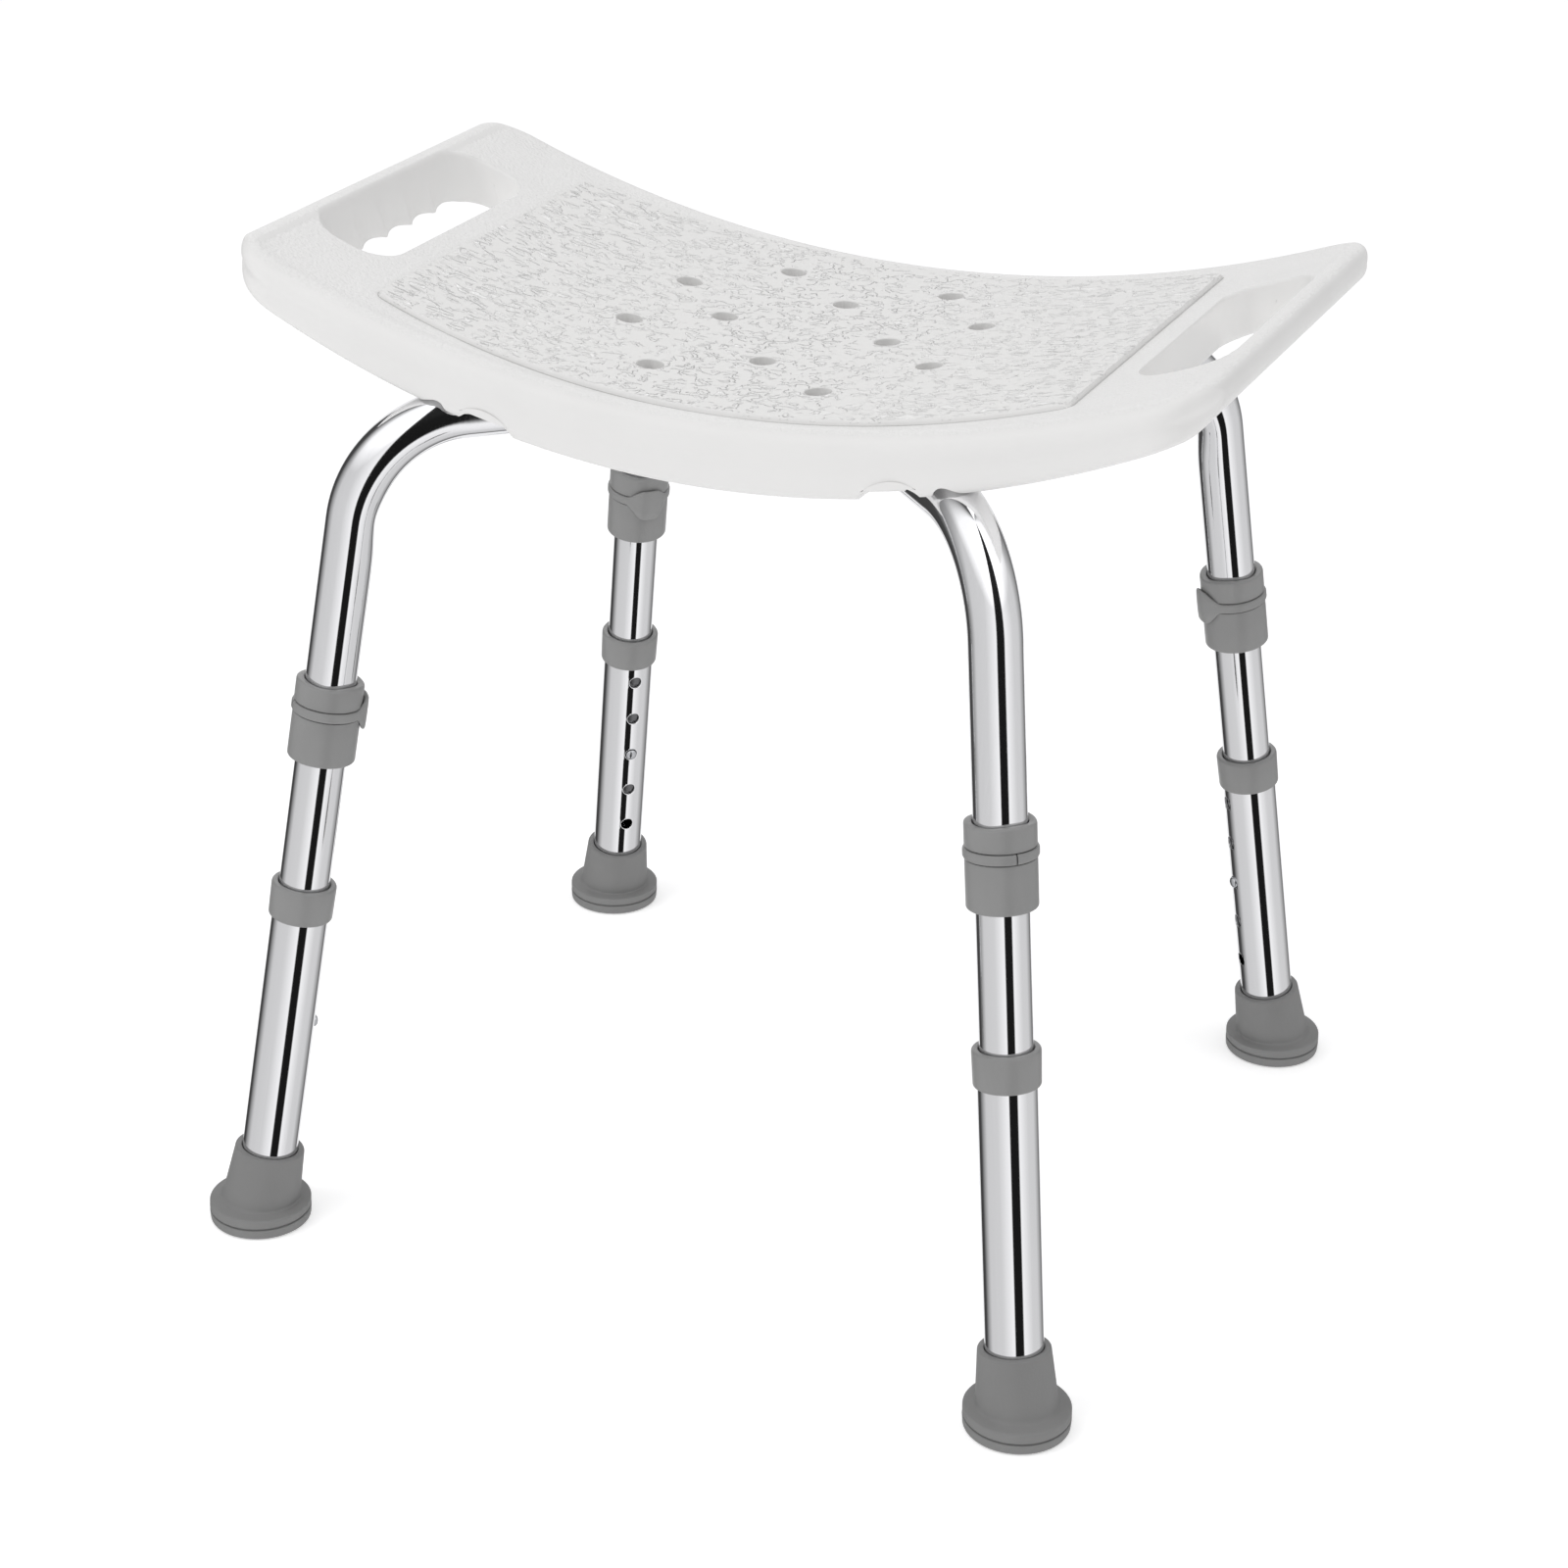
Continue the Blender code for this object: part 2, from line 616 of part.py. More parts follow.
def side_hole(radius, height):
    """A drill through the inward wall of a leg tube, at a height."""
    margin = 4 * TUBE_WALL
    drill = along_x(rod(radius, TUBE_RADIUS - margin, OUTER_TUBE_RADIUS + margin, SMALL_SIDES))
    bmesh.ops.translate(drill, verts=drill.verts[:], vec=(0.0, 0.0, height))
    return drill


def build_coupling(tag, leg, chrome, plastic):
    bore = TUBE_RADIUS + SLIDE_CLEARANCE
    groove = COLLAR_RADIUS - CLIP_GROOVE_DEPTH
    low = CLIP_HEIGHT - CLIP_BAND_HEIGHT / 2 - TOUCH_GAP
    high = CLIP_HEIGHT + CLIP_BAND_HEIGHT / 2 + TOUCH_GAP
    chamfer = COLLAR_CHAMFER
    wide = COLLAR_RADIUS
    profile = [(bore, COLLAR_BOTTOM), (wide - chamfer, COLLAR_BOTTOM), (wide, COLLAR_BOTTOM + chamfer),
               (wide, low), (groove, low), (groove, high), (wide, high), (wide, COLLAR_TOP - chamfer),
               (wide - chamfer, COLLAR_TOP), (bore, COLLAR_TOP)]
    turned_collar = turned(profile, LEG_SIDES, close_profile=True)
    collar = add_object(f"coupling_collar_{tag}", turned_collar, plastic, leg)
    tube = pipe(TUBE_RADIUS, TUBE_RADIUS - TUBE_WALL, INNER_TUBE_BOTTOM, COUPLING_JOINT - TOUCH_GAP)
    inner = add_object(f"leg_inner_tube_{tag}", tube, chrome, leg)
    outside = TUBE_RADIUS - TUBE_WALL - TOUCH_GAP
    low = COUPLING_JOINT - SLEEVE_BELOW
    high = COUPLING_JOINT + SLEEVE_ABOVE
    sleeve = add_object(f"leg_sleeve_{tag}", pipe(outside, outside - SLEEVE_WALL, low, high), chrome, leg)
    drill = side_hole(PEG_RADIUS + HOLE_CLEARANCE, CLIP_HEIGHT)
    cutter = add_cutter(f"cut_peg_{tag}", drill, leg)
    for target in (collar, inner, sleeve):
        combine(target, cutter, "DIFFERENCE")
    drill = side_hole(BUTTON_RADIUS + HOLE_CLEARANCE, BUTTON_HEIGHT)
    combine(inner, add_cutter(f"cut_button_{tag}", drill, leg), "DIFFERENCE")


def facet_share(angle):
    """How far out the side of a turned leg piece lies at an angle, as a share of its corner radius."""
    step = 2 * math.pi / LEG_SIDES
    from_middle = (angle + step / 2) % step - step / 2
    return math.cos(step / 2) / math.cos(from_middle)


def clip_band():
    """An open ring that follows the collar's facets, with its gap on the outer side of the leg."""
    inner = CLIP_BAND_INNER
    outer = inner + CLIP_BAND_THICKNESS
    half = CLIP_BAND_HEIGHT / 2
    end = math.pi - CLIP_GAP_ANGLE / 2
    corner_angles = [2 * math.pi * (i + 0.5) / LEG_SIDES - math.pi for i in range(LEG_SIDES)]
    shape = bmesh.new()
    rings = []
    for angle in [-end] + [a for a in corner_angles if abs(a) < end] + [end]:
        x = facet_share(angle) * math.cos(angle)
        y = facet_share(angle) * math.sin(angle)
        corners = ((inner, -half), (outer, -half), (outer, half), (inner, half))
        rings.append([shape.verts.new((r * x, r * y, z)) for r, z in corners])
    stitch(shape, rings)
    return shape


def build_lock_clip(tag, leg, plastic):
    clip = add_object(f"lock_clip_{tag}", clip_band(), plastic, leg, (0.0, 0.0, CLIP_HEIGHT))
    tab_inner = COLLAR_RADIUS + TOUCH_GAP
    tab_outer = CLIP_BAND_INNER + CLIP_BAND_THICKNESS + CLIP_TAB_THICKNESS
    outline = rounded_slot(CLIP_TAB_HEIGHT, CLIP_TAB_WIDTH, CLIP_TAB_CORNER)
    tab = along_x(extruded(outline, tab_inner, tab_outer))
    combine(clip, add_cutter(f"clip_tab_{tag}", tab, clip), "UNION")
    peg_tip = TUBE_RADIUS - TUBE_WALL
    peg = along_x(rod(PEG_RADIUS, peg_tip, tab_inner + CLIP_TAB_THICKNESS / 2, SMALL_SIDES))
    combine(clip, add_cutter(f"clip_peg_{tag}", peg, clip), "UNION")


def build_snap_button(tag, leg, steel):
    back = TUBE_RADIUS - TUBE_WALL - HOLE_CLEARANCE - BUTTON_FLANGE_THICKNESS
    front = back + BUTTON_FLANGE_THICKNESS
    tip = OUTER_TUBE_RADIUS + BUTTON_PROUD
    wide = BUTTON_FLANGE_RADIUS
    front -= wide * wide / (2 * TUBE_RADIUS)
    back -= wide * wide / (2 * TUBE_RADIUS)
    slant = math.sqrt(0.5)
    profile = [(0, back), (wide, back), (wide, front), (BUTTON_RADIUS, front),
               (BUTTON_RADIUS, tip - BUTTON_DOME),
               (BUTTON_RADIUS * slant, tip - BUTTON_DOME * (1 - slant)), (0, tip)]
    pin = along_x(turned(profile, SMALL_SIDES))
    add_object(f"snap_button_{tag}", pin, steel, leg, (0.0, 0.0, BUTTON_HEIGHT))
    build_button_spring(tag, leg, back - TOUCH_GAP, steel)


def build_button_spring(tag, leg, front, steel):
    """A V of flat spring strip: one arm behind the button, the other on the far wall, joined below."""
    far = -(TUBE_RADIUS - TUBE_WALL) * math.cos(math.pi / LEG_SIDES) + TOUCH_GAP
    thick = SPRING_THICKNESS
    top = BUTTON_RADIUS
    middle = (front + far) / 2
    outline = [(front, -top), (front, top), (front - thick, top), (front - thick, -top),
               (middle, -SPRING_DROP + 2 * thick), (far + thick, -top), (far + thick, top), (far, top),
               (far, -top), (middle - thick, -SPRING_DROP), (middle + thick, -SPRING_DROP)]
    shape = bmesh.new()
    rings = [[shape.verts.new((x, side * SPRING_WIDTH / 2, z)) for x, z in outline] for side in (-1, 1)]
    stitch(shape, rings)
    add_object(f"button_spring_{tag}", shape, steel, leg, (0.0, 0.0, BUTTON_HEIGHT))


def build_outer_leg(tag, leg, chrome, plastic):
    bore = OUTER_TUBE_RADIUS - OUTER_TUBE_WALL
    shape = pipe(OUTER_TUBE_RADIUS, bore, OUTER_TUBE_BOTTOM, OUTER_TUBE_TOP)
    tube = add_object(f"leg_outer_tube_{tag}", shape, chrome, leg)
    drills = bmesh.new()
    for i in range(HOLE_COUNT):
        height = BUTTON_HEIGHT + HOLE_PITCH * (i - HOLE_COUNT // 2)
        absorb(drills, side_hole(BUTTON_RADIUS + HOLE_CLEARANCE, height))
    combine(tube, add_cutter(f"cut_height_holes_{tag}", drills, leg), "DIFFERENCE")
    sleeve = OUTER_TUBE_RADIUS + TOUCH_GAP
    guide = TUBE_RADIUS + SLIDE_CLEARANCE
    lip = OUTER_TUBE_TOP + TOUCH_GAP
    bottom = FERRULE_TOP - FERRULE_LENGTH
    edge = FERRULE_RADIUS - COLLAR_CHAMFER
    add_object(f"ferrule_{tag}", turned([
        (sleeve, bottom), (edge, bottom), (FERRULE_RADIUS, bottom + COLLAR_CHAMFER),
        (FERRULE_RADIUS, FERRULE_TOP - COLLAR_CHAMFER), (edge, FERRULE_TOP), (guide, FERRULE_TOP),
        (guide, lip), (sleeve, lip)], LEG_SIDES, close_profile=True), plastic, leg)


def tilted(shape, leg):
    """Turns a shape made round Z on to the leg's axis, about the foot's own centre."""
    bmesh.ops.rotate(shape, verts=shape.verts[:], matrix=leg.rotation_euler.to_matrix())
    return shape


def build_foot(tag, leg, rubber, steel):
    floor_level = OUTER_TUBE_BOTTOM - 2 * TOUCH_GAP - WASHER_THICKNESS
    edge = FOOT_FLANGE_EDGE
    wide = FOOT_FLANGE_RADIUS
    high = FOOT_FLANGE_HEIGHT
    profile = [(0, 0), (wide - edge, 0), (wide, edge), (wide, high - edge), (wide - edge, high), (0, high)]
    base = turned(profile, FOOT_FLANGE_SIDES)
    foot = add_object(f"foot_{tag}", base, rubber, None, leg.location)
    cup = turned([(0, FOOT_FLANGE_HEIGHT / 2), (FOOT_WAIST_RADIUS, FOOT_FLANGE_HEIGHT / 2),
                  (FOOT_WAIST_RADIUS, FOOT_WAIST_HEIGHT), (FOOT_CUP_RADIUS, FOOT_CUP_HEIGHT - edge / 2),
                  (FOOT_CUP_RADIUS - edge / 2, FOOT_CUP_HEIGHT), (0, FOOT_CUP_HEIGHT)], LEG_SIDES)
    combine(foot, add_cutter(f"foot_cup_{tag}", tilted(cup, leg), foot), "UNION")
    bore = rod(OUTER_TUBE_RADIUS + TOUCH_GAP, floor_level, FOOT_CUP_HEIGHT + FOOT_FLANGE_HEIGHT)
    combine(foot, add_cutter(f"cut_foot_bore_{tag}", tilted(bore, leg), foot), "DIFFERENCE")
    washer_low = floor_level + TOUCH_GAP
    washer = rod(OUTER_TUBE_RADIUS - WASHER_INSET, washer_low, washer_low + WASHER_THICKNESS)
    add_object(f"foot_washer_{tag}", washer, steel, leg)


def build_leg(tag, sx, sy, finishes):
    leg = leg_empty(tag, sx, sy)
    build_coupling(tag, leg, finishes["chrome"], finishes["plastic"])
    build_lock_clip(tag, leg, finishes["plastic"])
    build_snap_button(tag, leg, finishes["steel"])
    build_outer_leg(tag, leg, finishes["chrome"], finishes["plastic"])
    build_foot(tag, leg, finishes["rubber"], finishes["steel"])


def build_stool():
    clear_scene()
    finishes = {
        "white": material("white_polyethylene", (0.86, 0.86, 0.85), 0.45, 0.0),
        "chrome": material("bright_tube", (0.80, 0.80, 0.81), 0.08, 1.0),
        "plastic": material("grey_plastic", (0.24, 0.24, 0.24), 0.42, 0.0),
        "rubber": material("grey_rubber", (0.21, 0.21, 0.21), 0.60, 0.0),
        "steel": material("zinc_plated_steel", (0.60, 0.60, 0.60), 0.28, 1.0),
        "brass": material("brass", (0.72, 0.55, 0.26), 0.30, 1.0),
    }
    build_seat(finishes["white"])
    build_frame(finishes["chrome"], finishes["steel"], finishes["brass"])
    for tag, sx, sy in CORNERS:
        build_leg(tag, sx, sy, finishes)


build_stool()
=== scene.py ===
import json
import math

import bmesh
import bpy
from mathutils import Matrix, Vector, noise


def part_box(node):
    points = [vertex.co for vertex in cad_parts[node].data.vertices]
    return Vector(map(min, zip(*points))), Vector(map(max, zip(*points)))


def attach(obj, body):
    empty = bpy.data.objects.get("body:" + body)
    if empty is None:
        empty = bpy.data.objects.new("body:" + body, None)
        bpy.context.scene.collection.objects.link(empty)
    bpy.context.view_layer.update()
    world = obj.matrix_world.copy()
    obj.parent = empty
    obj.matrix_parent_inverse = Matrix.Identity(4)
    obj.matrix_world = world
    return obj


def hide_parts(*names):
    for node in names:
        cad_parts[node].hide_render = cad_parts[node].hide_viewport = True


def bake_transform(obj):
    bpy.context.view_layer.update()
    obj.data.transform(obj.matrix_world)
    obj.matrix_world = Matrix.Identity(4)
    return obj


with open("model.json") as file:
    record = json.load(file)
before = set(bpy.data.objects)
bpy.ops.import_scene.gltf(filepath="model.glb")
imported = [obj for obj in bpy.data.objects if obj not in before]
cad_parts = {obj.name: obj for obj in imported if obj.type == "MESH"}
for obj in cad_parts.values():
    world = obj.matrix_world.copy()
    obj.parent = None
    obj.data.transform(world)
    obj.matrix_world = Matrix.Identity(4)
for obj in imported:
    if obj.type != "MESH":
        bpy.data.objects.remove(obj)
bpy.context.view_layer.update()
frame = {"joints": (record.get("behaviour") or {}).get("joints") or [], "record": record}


# ---------------------------------------------------------------------------------------------
# Studio. A pale floor, a white surround, three soft lamps above the stool, and the camera.
# The surround carries dark cards round the horizon, which only the polished tubes mirror.

CAMERA_PLACE = Vector((0.6711, -1.5141, 0.9958))
CAMERA_HEADING = math.radians(-24.13)
CAMERA_DOWN = math.radians(25.45)
CAMERA_ROLL = math.radians(1.04)
CAMERA_LENS = 80.3
FLOOR_SIZE = 12.0
FLOOR_COLOUR = (0.93, 0.93, 0.93, 1.0)
FLOOR_GLOW = 0.38
AMBIENT = 0.62
# Degrees round from the camera's own side of the stool, and how bright the surround is there.
SURROUND_CARDS = [
    (-180, 0.90), (-152, 0.90), (-147, 0.05), (-124, 0.06), (-88, 0.62), (-38, 0.66), (0, 0.93), (3, 0.95),
    (5, 0.010), (34, 0.010), (37, 0.95), (74, 0.66), (104, 0.64), (147, 0.09), (152, 0.90), (180, 0.90)]
LAMPS = [("key_lamp", (-1.3, -1.5, 2.3), 1.7, 17.0), ("fill_lamp", (1.9, 0.4, 2.2), 1.6, 5.0),
         ("top_lamp", (-0.2, -0.3, 2.7), 1.8, 7.0)]
# How much brighter the surround is overhead, and between which upward shares it gets there.
OVERHEAD = 1.7
OVERHEAD_STARTS = 0.35
OVERHEAD_FULL = 0.62


def place_camera():
    ahead = Vector((math.sin(CAMERA_HEADING) * math.cos(CAMERA_DOWN),
                    math.cos(CAMERA_HEADING) * math.cos(CAMERA_DOWN), -math.sin(CAMERA_DOWN)))
    right = ahead.cross(Vector((0.0, 0.0, 1.0))).normalized()
    up = right.cross(ahead)
    rolled_right = right * math.cos(CAMERA_ROLL) + up * math.sin(CAMERA_ROLL)
    rolled_up = up * math.cos(CAMERA_ROLL) - right * math.sin(CAMERA_ROLL)
    turn = Matrix((rolled_right, rolled_up, -ahead)).transposed().to_4x4()
    camera = bpy.data.objects.new("camera", bpy.data.cameras.new("camera"))
    camera.data.lens = CAMERA_LENS
    camera.data.sensor_width = 36.0
    camera.data.clip_end = 40.0
    camera.matrix_world = Matrix.Translation(CAMERA_PLACE) @ turn
    bpy.context.scene.collection.objects.link(camera)
    bpy.context.scene.camera = camera


def add_node(tree, kind, values=(), **settings):
    """A shader node with its settings, and its numbered or named input values."""
    node = tree.nodes.new(kind)
    for key, value in settings.items():
        setattr(node, key, value)
    for key, value in dict(values).items():
        node.inputs[key].default_value = value
    return node


def maths(tree, operation, first, second=0.0, clamp=False):
    """A Math node; each side is a socket or a number."""
    node = add_node(tree, "ShaderNodeMath", operation=operation, use_clamp=clamp)
    for socket, value in zip(node.inputs, (first, second)):
        if isinstance(value, (int, float)):
            socket.default_value = value
        else:
            tree.links.new(value, socket)
    return node.outputs[0]


def hang_surround():
    world = bpy.data.worlds.new("studio_surround")
    world.use_nodes = True
    tree = world.node_tree
    tree.nodes.clear()
    direction = add_node(tree, "ShaderNodeTexCoord").outputs["Generated"]
    split = add_node(tree, "ShaderNodeSeparateXYZ")
    tree.links.new(direction, split.inputs[0])
    heading = maths(tree, "ARCTAN2", split.outputs["Y"], split.outputs["X"])
    camera_side = math.atan2(CAMERA_PLACE.y, CAMERA_PLACE.x)
    turns = maths(tree, "MULTIPLY", maths(tree, "SUBTRACT", heading, camera_side), 0.5 / math.pi)
    share = maths(tree, "FRACT", maths(tree, "ADD", turns, 1.5))
    cards = add_node(tree, "ShaderNodeValToRGB")
    tree.links.new(share, cards.inputs[0])
    stops = cards.color_ramp.elements
    while len(stops) < len(SURROUND_CARDS):
        stops.new(1.0)
    for stop, (degrees, light) in zip(stops, SURROUND_CARDS):
        stop.position = degrees / 360 + 0.5
        stop.color = (light, light, light * 1.01, 1.0)
    overhead = add_node(tree, "ShaderNodeMapRange", {
        "From Min": OVERHEAD_STARTS, "From Max": OVERHEAD_FULL, "To Min": 1.0, "To Max": OVERHEAD})
    tree.links.new(split.outputs["Z"], overhead.inputs["Value"])
    lifted = add_node(tree, "ShaderNodeMix", data_type="RGBA", blend_type="MULTIPLY")
    lifted.inputs[0].default_value = 1.0
    tree.links.new(cards.outputs["Color"], lifted.inputs[6])
    tree.links.new(overhead.outputs[0], lifted.inputs[7])
    rays = add_node(tree, "ShaderNodeLightPath")
    mirrored = add_node(tree, "ShaderNodeMix", data_type="RGBA")
    mirrored.inputs[6].default_value = (AMBIENT, AMBIENT, AMBIENT * 1.01, 1.0)
    tree.links.new(rays.outputs["Is Glossy Ray"], mirrored.inputs[0])
    tree.links.new(lifted.outputs[2], mirrored.inputs[7])
    seen = add_node(tree, "ShaderNodeMix", data_type="RGBA")
    seen.inputs[7].default_value = (1.0, 1.0, 1.0, 1.0)
    tree.links.new(rays.outputs["Is Camera Ray"], seen.inputs[0])
    tree.links.new(mirrored.outputs[2], seen.inputs[6])
    light = add_node(tree, "ShaderNodeBackground")
    tree.links.new(seen.outputs[2], light.inputs["Color"])
    tree.links.new(light.outputs[0], add_node(tree, "ShaderNodeOutputWorld").inputs["Surface"])
    bpy.context.scene.world = world


def lay_floor():
    half = FLOOR_SIZE / 2
    mesh = bpy.data.meshes.new("studio_floor")
    corners = [(-half, -half, 0), (half, -half, 0), (half, half, 0), (-half, half, 0)]
    mesh.from_pydata(corners, [], [(0, 1, 2, 3)])
    floor = bpy.data.objects.new("studio_floor", mesh)
    floor.location.z = -0.0004
    floor.visible_glossy = False
    paint = bpy.data.materials.new("studio_floor")
    paint.use_nodes = True
    shader = paint.node_tree.nodes["Principled BSDF"]
    shader.inputs["Base Color"].default_value = FLOOR_COLOUR
    shader.inputs["Roughness"].default_value = 0.9
    shader.inputs["Specular IOR Level"].default_value = 0.0
    shader.inputs["Emission Color"].default_value = (1.0, 1.0, 1.0, 1.0)
    shader.inputs["Emission Strength"].default_value = FLOOR_GLOW
    clear = add_node(paint.node_tree, "ShaderNodeBsdfTransparent")
    side = add_node(paint.node_tree, "ShaderNodeNewGeometry")
    either = add_node(paint.node_tree, "ShaderNodeMixShader")
    paint.node_tree.links.new(side.outputs["Backfacing"], either.inputs[0])
    paint.node_tree.links.new(shader.outputs[0], either.inputs[1])
    paint.node_tree.links.new(clear.outputs[0], either.inputs[2])
    paint.node_tree.links.new(either.outputs[0], paint.node_tree.nodes["Material Output"].inputs["Surface"])
    mesh.materials.append(paint)
    bpy.context.scene.collection.objects.link(floor)


def hang_lamp(name, place, size, power):
    lamp = bpy.data.objects.new(name, bpy.data.lights.new(name, "AREA"))
    lamp.data.shape = "DISK"
    lamp.data.size = size
    lamp.data.energy = power
    lamp.location = place
    lamp.rotation_euler = (Vector((0.0, 0.0, 0.3)) - Vector(place)).to_track_quat("-Z", "Y").to_euler()
    lamp.visible_glossy = False
    bpy.context.scene.collection.objects.link(lamp)


place_camera()
hang_surround()
lay_floor()
for lamp_values in LAMPS:
    hang_lamp(*lamp_values)
bpy.context.scene.view_settings.view_transform = "Standard"


# ---------------------------------------------------------------------------------------------
# Seat. One blow-moulded shell of white polyethylene, curved up at both ends, with a raised
# grained panel, twelve drain holes, two hand slots, and grooves underneath for the frame tubes.

seat_low, seat_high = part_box("seat")
SEAT_HALF_LENGTH = (seat_high.x - seat_low.x) / 2
SEAT_HALF_WIDTH = (seat_high.y - seat_low.y) / 2
SEAT_END_HALF_WIDTH = 0.137
SEAT_CURVE_RADIUS = 0.625
SEAT_MIDDLE_TOP = 0.4539
SEAT_MIDDLE_THICKNESS = 0.033
SEAT_END_THICKNESS = 0.022
SEAT_CORNER_RADIUS = 0.028
SEAT_NOSE_DEPTH = 0.012
SEAT_NOSE_TOP_SHARE = 0.44
SEAT_NOSE_BOTTOM_SHARE = 0.52
RIM_RADIUS = 0.009
RIM_CREST = 0.00090
RIM_CREST_WIDTH = 0.006
SKIRT_WAIST = 0.0013
LOWER_EDGE_RADIUS = 0.003
PANEL_HALF_LENGTH = 0.1785
PANEL_HALF_WIDTH = 0.125
PANEL_END_HALF_WIDTH = 0.110
PANEL_RISE = 0.0013
PANEL_CORNER = 0.004
PANEL_GROOVE = 0.0010
PANEL_GRID = 0.0015
WRINKLE_HEIGHT = 0.00008
DRAIN_HOLE_RADIUS = 0.0065
DRAIN_HOLE_LIP = 0.0007
DRAIN_HOLES = [(0.080, 0.034), (0.044, 0.083), (0.0, 0.050), (0.044, 0.0)]
HAND_SLOT_X = 0.216
HAND_SLOT_WIDTH = 0.043
HAND_SLOT_LENGTH = 0.152
HAND_SLOT_CORNER = 0.018
HAND_SLOT_DRAFT = 0.0080
HAND_SLOT_STEP = 0.0018
HAND_SLOT_LIP = 0.0032
FINGER_PITCH = 0.0248
FINGER_COUNT = 5
FINGER_DEPTH = 0.0034
NOTCH_X = 0.104
NOTCH_WIDTH = 0.030
NOTCH_HEIGHT = 0.006
NOTCH_INTO_SKIRT = 0.012
VENT_RADIUS = 0.004
VENT_Y = 0.108
VENT_DEPTH = 0.014


def smooth_step(low, high, value):
    share = min(1.0, max(0.0, (value - low) / (high - low)))
    return share * share * (3 - 2 * share)


def seat_share(x):
    return (x / SEAT_HALF_LENGTH) ** 2


def seat_top(x):
    return SEAT_MIDDLE_TOP + SEAT_CURVE_RADIUS - math.sqrt(SEAT_CURVE_RADIUS ** 2 - x * x)


def seat_underside(x):
    return seat_top(x) - SEAT_MIDDLE_THICKNESS + (SEAT_MIDDLE_THICKNESS - SEAT_END_THICKNESS) * seat_share(x)


def round_fall(depth, reach):
    """How far a quarter round of this reach has fallen, at a depth from its outer end."""
    if depth >= reach:
        return 0.0
    return 1.0 - math.sqrt(max(0.0, 1.0 - ((reach - depth) / reach) ** 2))


def panel_half_width(x):
    share = min(1.0, (x / PANEL_HALF_LENGTH) ** 2)
    return PANEL_HALF_WIDTH - (PANEL_HALF_WIDTH - PANEL_END_HALF_WIDTH) * share


def past_panel(x, y):
    """How far a point lies outside the panel's edge; inside it is negative."""
    dx = abs(x) - PANEL_HALF_LENGTH + PANEL_CORNER
    dy = abs(y) - panel_half_width(x) + PANEL_CORNER
    return math.hypot(max(dx, 0.0), max(dy, 0.0)) + min(max(dx, dy), 0.0) - PANEL_CORNER


def wrinkle(x, y):
    """Leather-like folds, mostly running along the seat at its ends and in all directions in the middle."""
    along = smooth_step(0.02, 0.14, abs(x))
    sway = noise.noise((x * 45, y * 45, 2.0)) * 0.9
    long_fold = noise.noise((x * 62 + sway, y * 190 + sway, 5.0))
    short_fold = noise.noise((x * 120 + sway, y * 130 - sway, 8.0))
    fold = long_fold * along + short_fold * (1 - along)
    return max(0.0, 1.0 - abs(fold) / 0.16)


def panel_height(x, y):
    """The raised panel with its rounded, nicked edge, and the fine groove round it."""
    past = past_panel(x, y)
    rise = PANEL_RISE * (1.0 - smooth_step(-0.0008, 0.0002, past))
    groove = PANEL_GROOVE * smooth_step(0.0, 0.0003, past) * (1.0 - smooth_step(0.0006, 0.0022, past))
    height = rise - groove
    if past < -0.0004:
        height += WRINKLE_HEIGHT * wrinkle(x, y)
    if -0.004 < past < 0.0:
        nick = noise.noise((x * 210, y * 210, 12.0))
        height -= 0.45 * PANEL_RISE * smooth_step(0.28, 0.42, nick) * smooth_step(-0.004, -0.001, past)
    return height


def notch_height(x):
    """How high the shallow arch over each frame tube rises in the skirt's lower edge."""
    radius = (NOTCH_WIDTH ** 2 / 4 + NOTCH_HEIGHT ** 2) / (2 * NOTCH_HEIGHT)
    off = abs(abs(x) - NOTCH_X)
    if off >= NOTCH_WIDTH / 2:
        return 0.0
    return math.sqrt(radius ** 2 - off * off) - (radius - NOTCH_HEIGHT)


